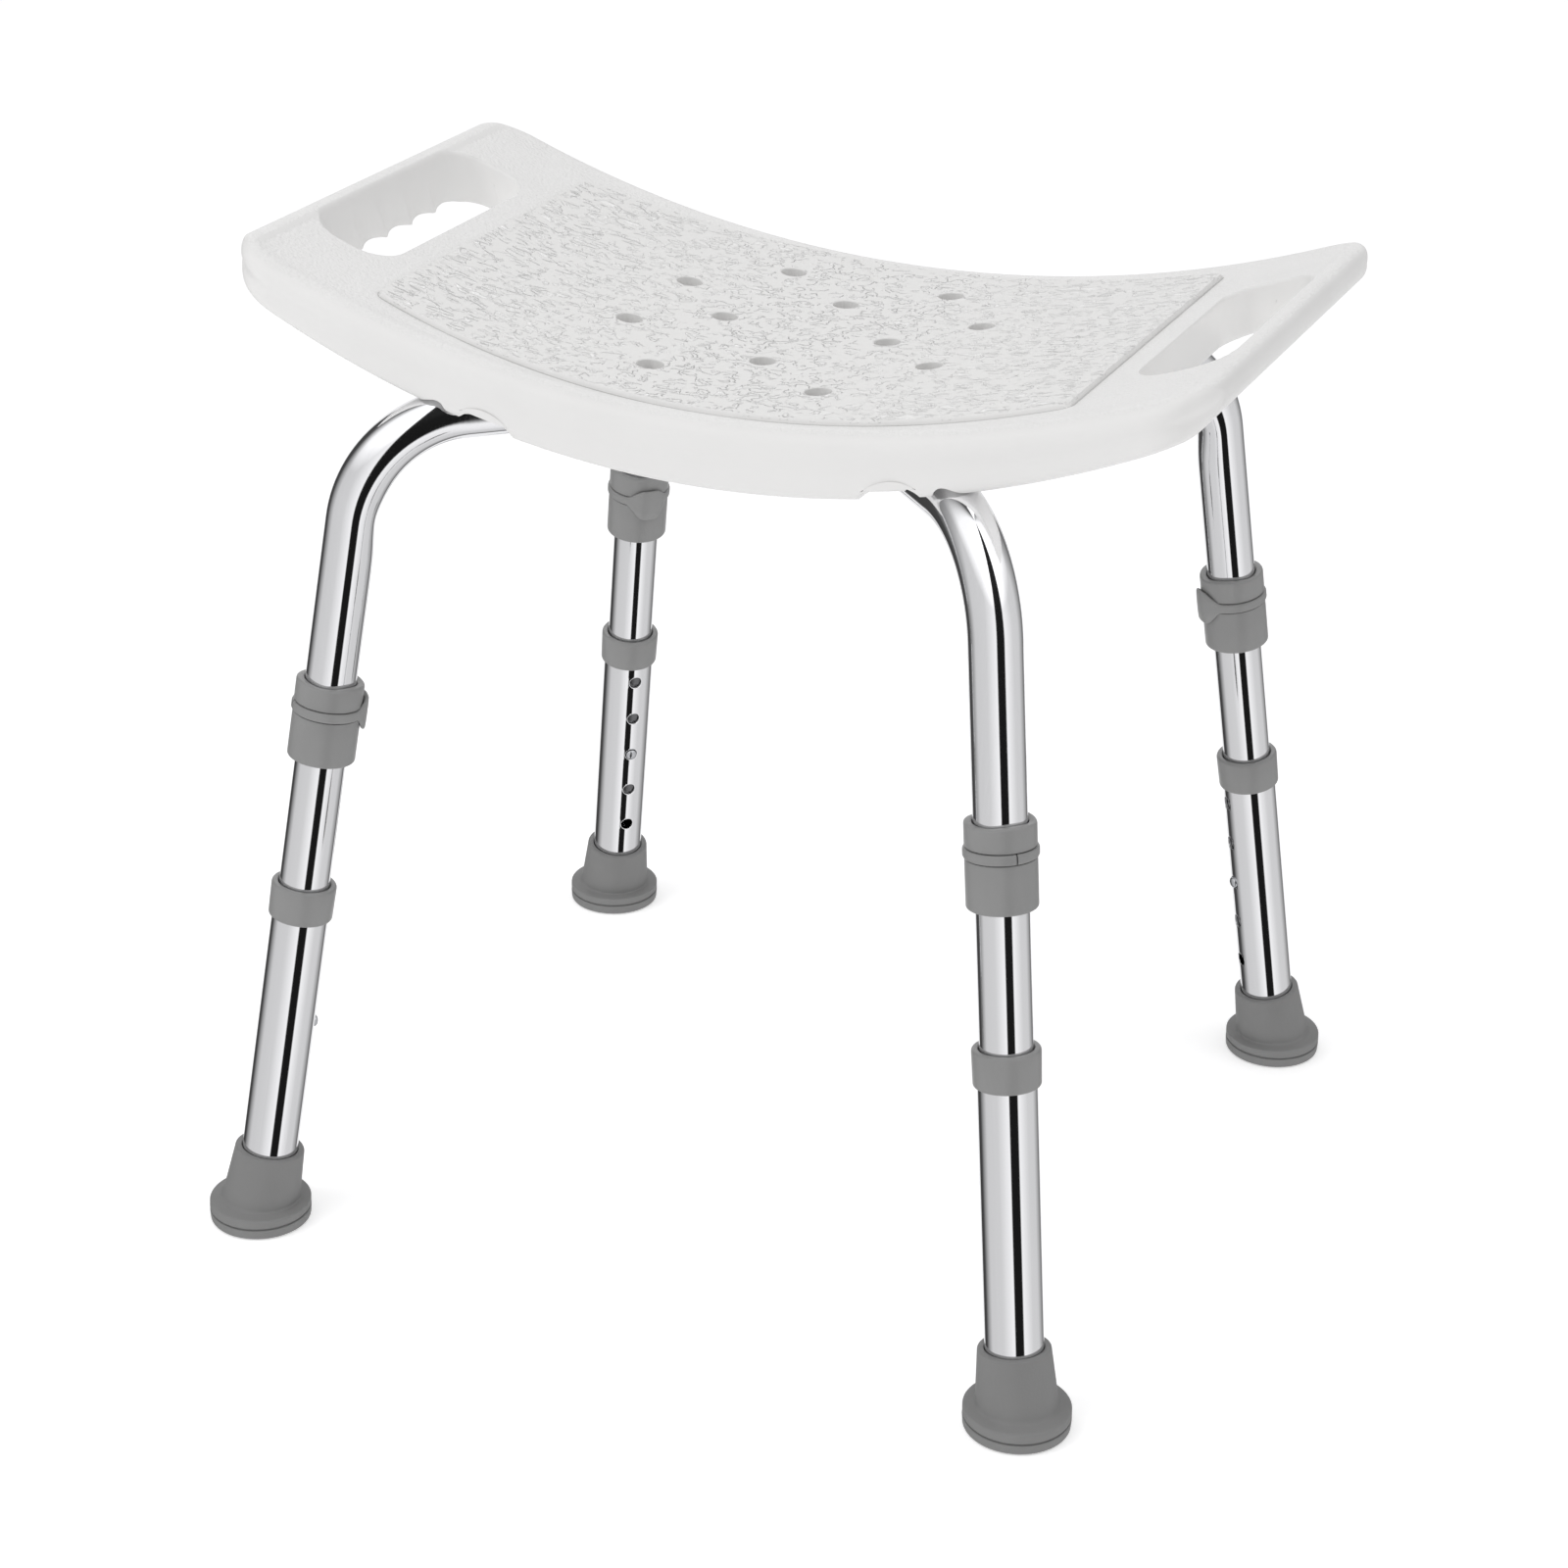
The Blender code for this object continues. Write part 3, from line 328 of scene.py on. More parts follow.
def seat_section(x):
    """The right half of the seat's outline across its width, from the middle of the top round to below."""
    depth = SEAT_HALF_LENGTH - abs(x)
    half = SEAT_HALF_WIDTH - (SEAT_HALF_WIDTH - SEAT_END_HALF_WIDTH) * seat_share(x)
    half -= SEAT_CORNER_RADIUS * round_fall(depth, SEAT_CORNER_RADIUS)
    full = seat_top(x) - seat_underside(x)
    fall = round_fall(depth, SEAT_NOSE_DEPTH)
    top = seat_top(x) - SEAT_NOSE_TOP_SHARE * full * fall
    bottom = seat_underside(x) + SEAT_NOSE_BOTTOM_SHARE * full * fall
    left = (top - bottom) / full
    rim = RIM_RADIUS * left
    lower = LOWER_EDGE_RADIUS * left
    panel = min(panel_half_width(x), half - rim - 0.003)
    points = []
    count = round(PANEL_HALF_WIDTH / PANEL_GRID)
    flat = [(panel - 0.0012) * i / count for i in range(count + 1)]
    flat += [panel + d for d in (-0.0008, -0.0005, -0.0002, 0.0, 0.0003, 0.0007, 0.0012, 0.0018)]
    border = half - rim - flat[-1]
    flat += [flat[-1] + border * i / 7 for i in range(1, 8)]
    for y in flat:
        crest = RIM_CREST * (1.0 - smooth_step(0.0, RIM_CREST_WIDTH, half - rim - y))
        outside = smooth_step(0.0, 0.002, past_panel(x, y)) if depth > SEAT_NOSE_DEPTH else 0.0
        points.append((y, top - (RIM_CREST - crest) * outside + panel_height(x, y)))
    for i in range(1, 11):
        angle = math.pi / 2 * i / 10
        points.append((half - rim + rim * math.sin(angle), top - rim + rim * math.cos(angle)))
    skirt = top - rim - bottom - lower
    for i in range(1, 10):
        share = i / 10
        waist = SKIRT_WAIST * left * math.sin(math.pi * share) ** 2 * (1.3 - share)
        points.append((half - waist, top - rim - skirt * share))
    arch = notch_height(x)
    for i in range(5):
        angle = math.pi / 2 * i / 4
        y = half - lower + lower * math.cos(angle)
        points.append((y, bottom + arch + lower - lower * math.sin(angle)))
    for into in (0.002, 0.005, 0.008, 0.0105, 0.012, 0.0125, 0.014):
        kept = 1.0 - smooth_step(NOTCH_INTO_SKIRT - 0.0012, NOTCH_INTO_SKIRT + 0.0004, into + lower)
        points.append((half - lower - into, bottom + arch * kept))
    inner = points[-1][0]
    points += [(inner * (1 - i / 12), bottom) for i in range(1, 12)]
    return points


def seat_stations():
    straight = SEAT_HALF_LENGTH - SEAT_CORNER_RADIUS
    flat_end = PANEL_HALF_LENGTH - 0.0012
    count = round(flat_end / PANEL_GRID)
    right = [flat_end * (i + 0.5) / (count + 0.5) for i in range(count + 1)]
    right += [PANEL_HALF_LENGTH + d for d in (-0.0008, -0.0005, -0.0002, 0.0, 0.0003, 0.0007, 0.0012, 0.0018)]
    count = round((straight - right[-1]) / 0.0025)
    right += [right[-1] + (straight - right[-1]) * (i + 1) / count for i in range(count)]
    right += [straight + SEAT_CORNER_RADIUS * math.sin(math.radians(a)) for a in range(4, 91, 4)]
    right.append(SEAT_HALF_LENGTH)
    return [-x for x in reversed(right)] + right


def join_rings(rings, closed=False, capped=True):
    """Vertices and faces of a skin over equal rings, with flat ends or joined end to end."""
    size = len(rings[0])
    verts = [tuple(p) for ring in rings for p in ring]
    faces = []
    for r in range(len(rings) if closed else len(rings) - 1):
        low = r * size
        high = (r + 1) % len(rings) * size
        for i in range(size):
            j = (i + 1) % size
            faces.append((low + i, low + j, high + j, high + i))
    if capped and not closed:
        faces.append(tuple(range(size - 1, -1, -1)))
        faces.append(tuple(range(len(verts) - size, len(verts))))
    return verts, faces


def make_object(name, skin, sharp=32.0):
    """A mesh object from (vertices, faces), faces turned out, smooth but for edges over a sharp angle."""
    mesh = bpy.data.meshes.new(name)
    mesh.from_pydata(skin[0], [], skin[1])
    shape = bmesh.new()
    shape.from_mesh(mesh)
    bmesh.ops.recalc_face_normals(shape, faces=shape.faces[:])
    shape.to_mesh(mesh)
    shape.free()
    mesh.shade_smooth()
    mesh.set_sharp_from_angle(angle=math.radians(sharp))
    made = bpy.data.objects.new(name, mesh)
    bpy.context.scene.collection.objects.link(made)
    return made


def cut(piece, cutters, sharp=32.0):
    """Takes the cutters away from a piece for good, and removes them."""
    for cutter in cutters:
        modifier = piece.modifiers.new("cut", "BOOLEAN")
        modifier.object = cutter
        modifier.operation = "DIFFERENCE"
        modifier.solver = "MANIFOLD"
    bpy.context.view_layer.update()
    graph = bpy.context.evaluated_depsgraph_get()
    mesh = bpy.data.meshes.new_from_object(piece.evaluated_get(graph))
    piece.modifiers.clear()
    old = piece.data
    piece.data = mesh
    bpy.data.meshes.remove(old)
    mesh.name = piece.name
    mesh.shade_smooth()
    mesh.set_sharp_from_angle(angle=math.radians(sharp))
    for cutter in cutters:
        bpy.data.objects.remove(cutter)


def seat_surface(x, y):
    """The seat's real top height at a point, panel included but not its folds."""
    return seat_top(x) + PANEL_RISE * (1.0 - smooth_step(-0.0008, 0.0002, past_panel(x, y)))


def opening_cutter(name, outline, lip, lower_lip, walls=2):
    """A cutter down through the seat with rounded lips; outline(grow, share) gives its points."""
    rings = []
    levels = [(lip + 0.0012, 0.0012)]
    for turn in range(0, 91, 15):
        angle = math.radians(turn)
        levels.append((lip * (1 - math.sin(angle)), -lip * (1 - math.cos(angle))))
    for grow, rise in levels:
        rings.append([(x, y, seat_surface(x, y) + rise) for x, y in outline(grow, 0.0)])
    for i in range(1, walls):
        share = i / walls
        ring = []
        for x, y in outline(0.0, share):
            high = seat_surface(x, y) - lip
            low = seat_underside(x) + lower_lip
            ring.append((x, y, high + (low - high) * share))
        rings.append(ring)
    under = []
    for turn in range(0, 91, 30):
        angle = math.radians(turn)
        under.append((lower_lip * (1 - math.cos(angle)), lower_lip * (1 - math.sin(angle))))
    for grow, rise in under + [(lower_lip + 0.0012, -0.0012)]:
        rings.append([(x, y, seat_underside(x) + rise) for x, y in outline(grow, 1.0)])
    return make_object(name, join_rings(rings))


def drain_outline(cx, cy):
    def outline(grow, share):
        radius = DRAIN_HOLE_RADIUS + grow
        turns = [2 * math.pi * i / 40 for i in range(40)]
        return [(cx + radius * math.cos(a), cy + radius * math.sin(a)) for a in turns]
    return outline


def finger_recess(y):
    """Five finger hollows side by side along the slot's outer wall."""
    reach = FINGER_PITCH * FINGER_COUNT / 2
    if abs(y) >= reach:
        return 0.0
    return FINGER_DEPTH * abs(math.sin(math.pi * (y + reach) / FINGER_PITCH)) ** 0.8


def hand_slot_outline(side):
    half_x = HAND_SLOT_WIDTH / 2 - HAND_SLOT_CORNER
    half_y = HAND_SLOT_LENGTH / 2 - HAND_SLOT_CORNER
    spine = []
    for sx, sy, start in ((1, 1, 0), (-1, 1, 90), (-1, -1, 180), (1, -1, 270)):
        spine += [(sx * half_x, sy * half_y, math.radians(start + 90 * i / 10)) for i in range(11)]
        ahead = math.radians(start + 90)
        if sx * sy > 0:
            spine += [(sx * half_x * (1 - 2 * i / 3), sy * half_y, ahead) for i in range(1, 3)]
        else:
            steps = round(2 * half_y / HAND_SLOT_STEP)
            spine += [(sx * half_x, sy * half_y * (1 - 2 * i / steps), ahead) for i in range(1, steps)]

    def outline(grow, share):
        points = []
        for x, y, angle in spine:
            reach = HAND_SLOT_CORNER + grow
            px = x + reach * math.cos(angle)
            py = y + reach * math.sin(angle)
            px -= side * HAND_SLOT_DRAFT * share * smooth_step(0.0, half_x, side * x)
            if side * px > half_x + 0.9 * HAND_SLOT_CORNER - HAND_SLOT_DRAFT * share:
                px += side * finger_recess(py) * smooth_step(0.05, 0.9, share)
            points.append((side * HAND_SLOT_X + px, py))
        return points
    return outline


GROOVE_CLEARANCE = 0.0006
GROOVE_ROOF_CORNER = 0.005
TUBE_RADIUS = 0.0127
TUBE_RUN_HEIGHT = 0.431
TUBE_BEND_RADIUS = 0.058
CROSSING_REACH = 0.020
CROSSING_BLEND = 0.034
CROSSING_EXTRA_WIDTH = 0.0042


def leg_places():
    """Each leg's frame of reference: the origin on the floor, Z up the leg, X towards the stool's middle."""
    directions = {joint["name"]: Vector(joint["axis"]).normalized() for joint in frame["joints"]}
    places = {}
    for mount in frame["record"]["mounts"]:
        tag = mount["name"][-2:]
        up = -directions["height_" + tag]
        inward = directions["unlock_" + tag]
        turn = Matrix((inward, up.cross(inward), up)).transposed().to_4x4()
        places[tag] = Matrix.Translation(Vector(mount["pos_m"])) @ turn
    return places


LEGS = leg_places()
LEG_LEAN = math.acos(LEGS["fl"].col[2].z)
LEG_REACH = LEGS["fl"].translation.length
LEG_HEADING = math.atan2(abs(LEGS["fl"].translation.y), abs(LEGS["fl"].translation.x))
TUBE_BEND_TANGENT = TUBE_BEND_RADIUS * math.tan((math.pi / 2 - LEG_LEAN) / 2)
TUBE_RUN_END = LEG_REACH - TUBE_RUN_HEIGHT * math.tan(LEG_LEAN) - TUBE_BEND_TANGENT


def groove_section(reach, roof, half):
    """A groove's outline at a reach from the middle: splayed mouth, straight walls, rounded roof."""
    mouth = min(seat_underside(reach * math.cos(LEG_HEADING)), roof - GROOVE_ROOF_CORNER - 0.003)
    points = [(half + 0.0035, mouth - 0.0025), (half, mouth + 0.001)]
    for i in range(7):
        angle = math.pi / 2 * i / 6
        points.append((half - GROOVE_ROOF_CORNER * (1 - math.cos(angle)),
                       roof - GROOVE_ROOF_CORNER * (1 - math.sin(angle))))
    points = [(half + 0.0035, 0.36)] + points
    return points + [(-y, z) for y, z in reversed(points)]


def groove_cutter(name, heading):
    narrow = TUBE_RADIUS + GROOVE_CLEARANCE
    roof = TUBE_RUN_HEIGHT + narrow
    stations = [(CROSSING_REACH + CROSSING_BLEND * i / 6, roof, narrow + CROSSING_EXTRA_WIDTH * (1 - i / 6))
                for i in range(7)]
    bend = TUBE_BEND_RADIUS + narrow
    for degrees in range(0, 53, 4):
        turn = math.radians(degrees)
        stations.append((TUBE_RUN_END + bend * math.sin(turn), roof - bend * (1 - math.cos(turn)), narrow))
    rings = []
    for reach, high, half in [(-r, h, w) for r, h, w in reversed(stations)] + stations:
        ring = []
        for y, z in groove_section(reach, high, half):
            spot = Matrix.Rotation(heading, 3, "Z") @ Vector((reach, y, z))
            ring.append(tuple(spot))
        rings.append(ring)
    return make_object(name, join_rings(rings))


def upright_cutter(name, x, y, radius, low, high, sides=24):
    rings = []
    for z in (low, high):
        turns = [2 * math.pi * i / sides for i in range(sides)]
        rings.append([(x + radius * math.cos(a), y + radius * math.sin(a), z) for a in turns])
    return make_object(name, join_rings(rings))


def model_seat():
    rings = []
    for x in seat_stations():
        right = seat_section(x)
        left = [(-y, z) for y, z in reversed(right[1:])]
        rings.append([(x, y, z) for y, z in right + left])
    seat = make_object("seat_shell", join_rings(rings))
    holes = sorted({(sx * x, sy * y) for x, y in DRAIN_HOLES for sx in (-1, 1) for sy in (-1, 1)})
    cutters = []
    for x, y in holes:
        cutters.append(opening_cutter("cut_drain", drain_outline(x, y), DRAIN_HOLE_LIP, DRAIN_HOLE_LIP))
    for side in (-1, 1):
        outline = hand_slot_outline(side)
        cutters.append(opening_cutter("cut_hand_slot", outline, HAND_SLOT_LIP, 0.0015, walls=9))
    cutters += [groove_cutter("cut_groove", heading) for heading in (LEG_HEADING, -LEG_HEADING)]
    vent_low = seat_underside(0.0) - 0.002
    cutters.append(upright_cutter("cut_vent", 0.0, VENT_Y, VENT_RADIUS, vent_low, vent_low + VENT_DEPTH))
    cut(seat, cutters, sharp=40.0)
    return seat


def grain_group():
    """Fine pebble grain of a textured mould: a height, and a slow mottling from 0 to 1."""
    tree = bpy.data.node_groups.new("moulded_grain", "ShaderNodeTree")
    tree.interface.new_socket("Scale", in_out="INPUT", socket_type="NodeSocketFloat")
    tree.interface.new_socket("Height", in_out="OUTPUT", socket_type="NodeSocketFloat")
    tree.interface.new_socket("Mottle", in_out="OUTPUT", socket_type="NodeSocketFloat")
    given = add_node(tree, "NodeGroupInput")
    place = add_node(tree, "ShaderNodeTexCoord").outputs["Object"]
    pebbles = add_node(tree, "ShaderNodeTexVoronoi", feature="SMOOTH_F1")
    fuzz = add_node(tree, "ShaderNodeTexNoise", {"Detail": 3.0, "Roughness": 0.6})
    slow = add_node(tree, "ShaderNodeTexNoise", {"Scale": 26.0, "Detail": 2.0})
    tree.links.new(given.outputs["Scale"], pebbles.inputs["Scale"])
    tree.links.new(maths(tree, "MULTIPLY", given.outputs["Scale"], 0.6), fuzz.inputs["Scale"])
    for texture in (pebbles, fuzz, slow):
        tree.links.new(place, texture.inputs["Vector"])
    out = add_node(tree, "NodeGroupOutput")
    height = maths(tree, "ADD", maths(tree, "MULTIPLY", pebbles.outputs["Distance"], 0.8), fuzz.outputs[0])
    tree.links.new(height, out.inputs["Height"])
    tree.links.new(slow.outputs[0], out.inputs["Mottle"])
    return tree


GRAIN = grain_group()


def new_finish(name, colour, roughness, metallic=0.0):
    """A material with one Principled shader, its plain values set; returns material, tree and shader."""
    finish = bpy.data.materials.new(name)
    finish.use_nodes = True
    shader = finish.node_tree.nodes["Principled BSDF"]
    shader.inputs["Base Color"].default_value = (*colour, 1.0)
    shader.inputs["Roughness"].default_value = roughness
    shader.inputs["Metallic"].default_value = metallic
    return finish, finish.node_tree, shader


def tint(tree, shader, mask, dark, light):
    """Base colour running from dark to light with a mask."""
    mix = add_node(tree, "ShaderNodeMix", data_type="RGBA")
    mix.inputs[6].default_value = (*dark, 1.0)
    mix.inputs[7].default_value = (*light, 1.0)
    tree.links.new(mask, mix.inputs[0])
    tree.links.new(mix.outputs[2], shader.inputs["Base Color"])


def vary_roughness(tree, shader, mask, low, high):
    spread = add_node(tree, "ShaderNodeMapRange", {"To Min": low, "To Max": high})
    tree.links.new(mask, spread.inputs["Value"])
    tree.links.new(spread.outputs[0], shader.inputs["Roughness"])


def add_bump(tree, shader, height, strength, distance):
    bump = add_node(tree, "ShaderNodeBump", {"Strength": strength, "Distance": distance})
    tree.links.new(height, bump.inputs["Height"])
    tree.links.new(bump.outputs[0], shader.inputs["Normal"])


def white_grained():
    """The border and rim: white polyethylene with the mould's fine pebble grain."""
    finish, tree, shader = new_finish("white_grained_border", (0.83, 0.83, 0.82), 0.48)
    grain = add_node(tree, "ShaderNodeGroup", node_tree=GRAIN)
    grain.inputs["Scale"].default_value = 620.0
    tint(tree, shader, grain.outputs["Mottle"], (0.79, 0.785, 0.775), (0.85, 0.845, 0.835))
    vary_roughness(tree, shader, grain.outputs["Mottle"], 0.38, 0.50)
    add_bump(tree, shader, grain.outputs["Height"], 0.75, 0.0006)
    return finish


def white_smooth():
    """The skirt, the underside and the walls of the openings: the same plastic from a smoother mould."""
    finish, tree, shader = new_finish("white_smooth_skirt", (0.84, 0.84, 0.83), 0.40)
    grain = add_node(tree, "ShaderNodeGroup", node_tree=GRAIN)
    grain.inputs["Scale"].default_value = 240.0
    tint(tree, shader, grain.outputs["Mottle"], (0.80, 0.795, 0.785), (0.83, 0.825, 0.815))
    vary_roughness(tree, shader, grain.outputs["Mottle"], 0.34, 0.46)
    add_bump(tree, shader, grain.outputs["Height"], 0.10, 0.0003)
    return finish


def fold_lines(tree, place, stretch, turn, width):
    """Thin wandering ridges: where a stretched noise crosses its middle value."""
    rotation = (0.0, 0.0, math.radians(turn))
    mapping = add_node(tree, "ShaderNodeMapping", {"Scale": stretch, "Rotation": rotation})
    cloud = add_node(tree, "ShaderNodeTexNoise", {"Scale": 1.0, "Detail": 1.2, "Distortion": 0.55})
    tree.links.new(place, mapping.inputs["Vector"])
    tree.links.new(mapping.outputs[0], cloud.inputs["Vector"])
    off = maths(tree, "ABSOLUTE", maths(tree, "SUBTRACT", cloud.outputs[0], 0.5))
    return maths(tree, "SUBTRACT", 1.0, maths(tree, "DIVIDE", off, width), clamp=True)


def white_leather_panel():
    """The seat panel: raised veins like leather, long ones along the seat at its ends, short ones between;
    the veins' base colour is a painted highlight and the ground between them painted shade.
    """
    finish, tree, shader = new_finish("white_leather_panel", (0.84, 0.84, 0.83), 0.42)
    place = add_node(tree, "ShaderNodeTexCoord").outputs["Object"]
    split = add_node(tree, "ShaderNodeSeparateXYZ")
    tree.links.new(place, split.inputs[0])
    long_lines = fold_lines(tree, place, (66.0, 190.0, 40.0), 4.0, 0.050)
    short_lines = fold_lines(tree, place, (170.0, 190.0, 60.0), -24.0, 0.055)
    ends = add_node(tree, "ShaderNodeMapRange", {"From Min": 0.03, "From Max": 0.13})
    tree.links.new(maths(tree, "ABSOLUTE", split.outputs["X"]), ends.inputs["Value"])
    gaps = add_node(tree, "ShaderNodeTexNoise", {"Scale": 150.0, "Detail": 1.0})
    tree.links.new(place, gaps.inputs["Vector"])
    broken = add_node(tree, "ShaderNodeMapRange", {"From Min": 0.45, "From Max": 0.50})
    tree.links.new(gaps.outputs[0], broken.inputs["Value"])
    middle_share = maths(tree, "SUBTRACT", 1.0, maths(tree, "MULTIPLY", ends.outputs[0], 0.6))
    long_part = maths(tree, "MULTIPLY", long_lines, ends.outputs[0])
    veins = maths(tree, "MAXIMUM", long_part, maths(tree, "MULTIPLY", short_lines, middle_share))
    veins = maths(tree, "MULTIPLY", veins, broken.outputs[0])
    grain = add_node(tree, "ShaderNodeGroup", node_tree=GRAIN)
    grain.inputs["Scale"].default_value = 420.0
    height = maths(tree, "ADD", veins, maths(tree, "MULTIPLY", grain.outputs["Height"], 0.07))
    # Painted highlight and shade: the veins are coloured lighter and the ground between them darker, standing
    # in for the light and shade of their relief.
    tint(tree, shader, veins, (0.80, 0.795, 0.782), (0.96, 0.955, 0.945))
    vary_roughness(tree, shader, veins, 0.46, 0.30)
    add_bump(tree, shader, height, 1.0, 0.0008)
    return finish


def white_crease_painted_shade():
    """The fine groove round the panel, its plastic given a dark base colour as painted shade in the crease.
    """
    # Painted shade: the dark base colour stands in for the shadow down in the groove.
    finish, tree, shader = new_finish("white_crease_painted_shade", (0.55, 0.55, 0.54), 0.60)
    grain = add_node(tree, "ShaderNodeGroup", node_tree=GRAIN)
    grain.inputs["Scale"].default_value = 180.0
    tint(tree, shader, grain.outputs["Mottle"], (0.42, 0.42, 0.41), (0.66, 0.66, 0.65))
    add_bump(tree, shader, grain.outputs["Height"], 0.30, 0.0003)
    return finish


def paint_seat(seat):
    """Panel, grained border and smooth rest, chosen by where each face lies and how it faces."""
    seat.data.materials.clear()
    for finish in (white_leather_panel(), white_grained(), white_smooth(), white_crease_painted_shade()):
        seat.data.materials.append(finish)
    for face in seat.data.polygons:
        x, y, z = face.center
        on_top = face.normal.z > 0.80 and z > seat_top(x) - 0.006
        past = past_panel(x, y)
        # Faces in the fine groove round the panel get the crease finish, whose dark colour is painted shade.
        if on_top and -0.0003 < past < 0.0012:
            face.material_index = 3
        elif on_top and past <= -0.0003:
            face.material_index = 0
        elif on_top and abs(x) < SEAT_HALF_LENGTH - 0.003:
            face.material_index = 1
        else:
            face.material_index = 2


def fit_piece(piece, body, slot_name, *nodes):
    """Rides a finished piece on its body, in place of these CAD nodes; slot_name is not used."""
    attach(piece, body)
    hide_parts(*nodes)


seat_shell = model_seat()
paint_seat(seat_shell)
fit_piece(seat_shell, "root", "white_polyethylene", "seat")


# ---------------------------------------------------------------------------------------------
# Frame tubes. Two bright-polished tubes, each bent down at both ends and pressed flat where they
# cross under the seat's middle, with a slight dent inside each bend where the bender gripped.

TUBE_WALL = 0.0012
TUBE_SIDES = 56
LEG_JOINT = 0.2963
CROSSING_THICKNESS = 0.0125
CROSSING_SQUARENESS = 0.25
BEND_STEP = math.radians(3.0)
DENT_DEPTH = 0.0016
DENT_LENGTH = 0.012
BOLT_HOLE_RADIUS = 0.0033
SCREW_HOLE_RADIUS = 0.0024
SCREW_REACH = 0.115


def tube_stations():
    """Half of a frame tube's middle line, as (reach, height, tilt, distance above the bend's lower end)."""
    leg_start = TUBE_RUN_HEIGHT / math.cos(LEG_LEAN) - TUBE_BEND_TANGENT
    steep = math.pi / 2 - LEG_LEAN
    stations = []
    for i in range(31):
        along = LEG_JOINT + (leg_start - LEG_JOINT) * i / 30
        reach = LEG_REACH - along * math.sin(LEG_LEAN)
        stations.append((reach, along * math.cos(LEG_LEAN), steep, along - leg_start))
    count = round(steep / BEND_STEP)
    for i in range(1, count + 1):
        tilt = steep * (1 - i / count)
        reach = TUBE_RUN_END + TUBE_BEND_RADIUS * math.sin(tilt)
        height = TUBE_RUN_HEIGHT - TUBE_BEND_RADIUS * (1 - math.cos(tilt))
        stations.append((reach, height, tilt, (steep - tilt) * TUBE_BEND_RADIUS))
    crossing = CROSSING_REACH + CROSSING_BLEND
    for i in range(1, 7):
        reach = TUBE_RUN_END + (crossing - TUBE_RUN_END) * i / 6
        stations.append((reach, TUBE_RUN_HEIGHT, 0.0, 1.0))
    for i in range(1, 17):
        stations.append((crossing - CROSSING_BLEND * i / 16, TUBE_RUN_HEIGHT, 0.0, 1.0))
    return stations


def tube_ring(station, wall, press):
    """One ring round the tube. press is 1 where the crossing keeps its top, -1 its bottom."""
    reach, height, tilt, past_bend = station
    flat = 0.0
    if abs(tilt) < 1e-6:
        flat = 1.0 - smooth_step(CROSSING_REACH, CROSSING_REACH + CROSSING_BLEND, abs(reach))
    tall = TUBE_RADIUS + (CROSSING_THICKNESS / 2 - TUBE_RADIUS) * flat
    wide = TUBE_RADIUS + CROSSING_EXTRA_WIDTH * flat - wall
    dent = DENT_DEPTH * math.exp(-(past_bend / DENT_LENGTH) ** 2)
    up = Vector((math.sin(tilt), 0.0, math.cos(tilt)))
    centre = Vector((reach, 0.0, height + press * (TUBE_RADIUS - tall)))
    ring = []
    for i in range(TUBE_SIDES):
        angle = 2 * math.pi * i / TUBE_SIDES
        squarer = 1 + CROSSING_SQUARENESS * flat * abs(math.sin(2 * angle))
        lift = max(-1.0, min(1.0, math.cos(angle) * squarer)) * (tall - wall)
        lift += dent * max(0.0, -math.cos(angle)) ** 3
        ring.append(centre + Vector((0.0, wide * math.sin(angle), 0.0)) + up * lift)
    return ring


def handling_group():
    """Slow smudges and fine rubbed lines along a part, for the roughness of handled metal and plastic."""
    tree = bpy.data.node_groups.new("handling_marks", "ShaderNodeTree")
    for name in ("Roughness", "Smudge", "Line"):
        tree.interface.new_socket(name, in_out="INPUT", socket_type="NodeSocketFloat")
    tree.interface.new_socket("Roughness", in_out="OUTPUT", socket_type="NodeSocketFloat")
    tree.interface.new_socket("Lines", in_out="OUTPUT", socket_type="NodeSocketFloat")
    given = add_node(tree, "NodeGroupInput")
    place = add_node(tree, "ShaderNodeTexCoord").outputs["Object"]
    smudge = add_node(tree, "ShaderNodeTexNoise", {"Scale": 38.0, "Detail": 3.0, "Roughness": 0.55})
    stretch = add_node(tree, "ShaderNodeMapping", {"Scale": (900.0, 900.0, 14.0)})
    lines = add_node(tree, "ShaderNodeTexNoise", {"Scale": 1.0, "Detail": 2.0})
    tree.links.new(place, smudge.inputs["Vector"])
    tree.links.new(place, stretch.inputs["Vector"])
    tree.links.new(stretch.outputs[0], lines.inputs["Vector"])
    worn = maths(tree, "MULTIPLY", maths(tree, "SUBTRACT", smudge.outputs[0], 0.5), given.outputs["Smudge"])
    rubbed = maths(tree, "MULTIPLY", maths(tree, "SUBTRACT", lines.outputs[0], 0.5), given.outputs["Line"])
    total = maths(tree, "ADD", given.outputs["Roughness"], maths(tree, "ADD", worn, rubbed), clamp=True)
    out = add_node(tree, "NodeGroupOutput")
    tree.links.new(total, out.inputs["Roughness"])
    tree.links.new(lines.outputs[0], out.inputs["Lines"])
    return tree


HANDLING = handling_group()


def handled(tree, shader, roughness, smudge, line):
    """Drives a shader's roughness by the handling marks, and returns the fine lines for a bump."""
    marks = add_node(tree, "ShaderNodeGroup", node_tree=HANDLING)
    for name, value in (("Roughness", roughness), ("Smudge", smudge), ("Line", line)):
        marks.inputs[name].default_value = value
    tree.links.new(marks.outputs["Roughness"], shader.inputs["Roughness"])
    return marks.outputs["Lines"]


def bright_polish():
    """Aluminium tube polished and bright-dipped until it mirrors, with faint wiping marks."""
    finish, tree, shader = new_finish("bright_polished_tube", (0.93, 0.93, 0.94), 0.06, 1.0)
    lines = handled(tree, shader, 0.065, 0.05, 0.03)
    tint(tree, shader, lines, (0.91, 0.91, 0.92), (0.95, 0.95, 0.96))
    add_bump(tree, shader, lines, 0.02, 0.0001)
    return finish


BRIGHT = bright_polish()


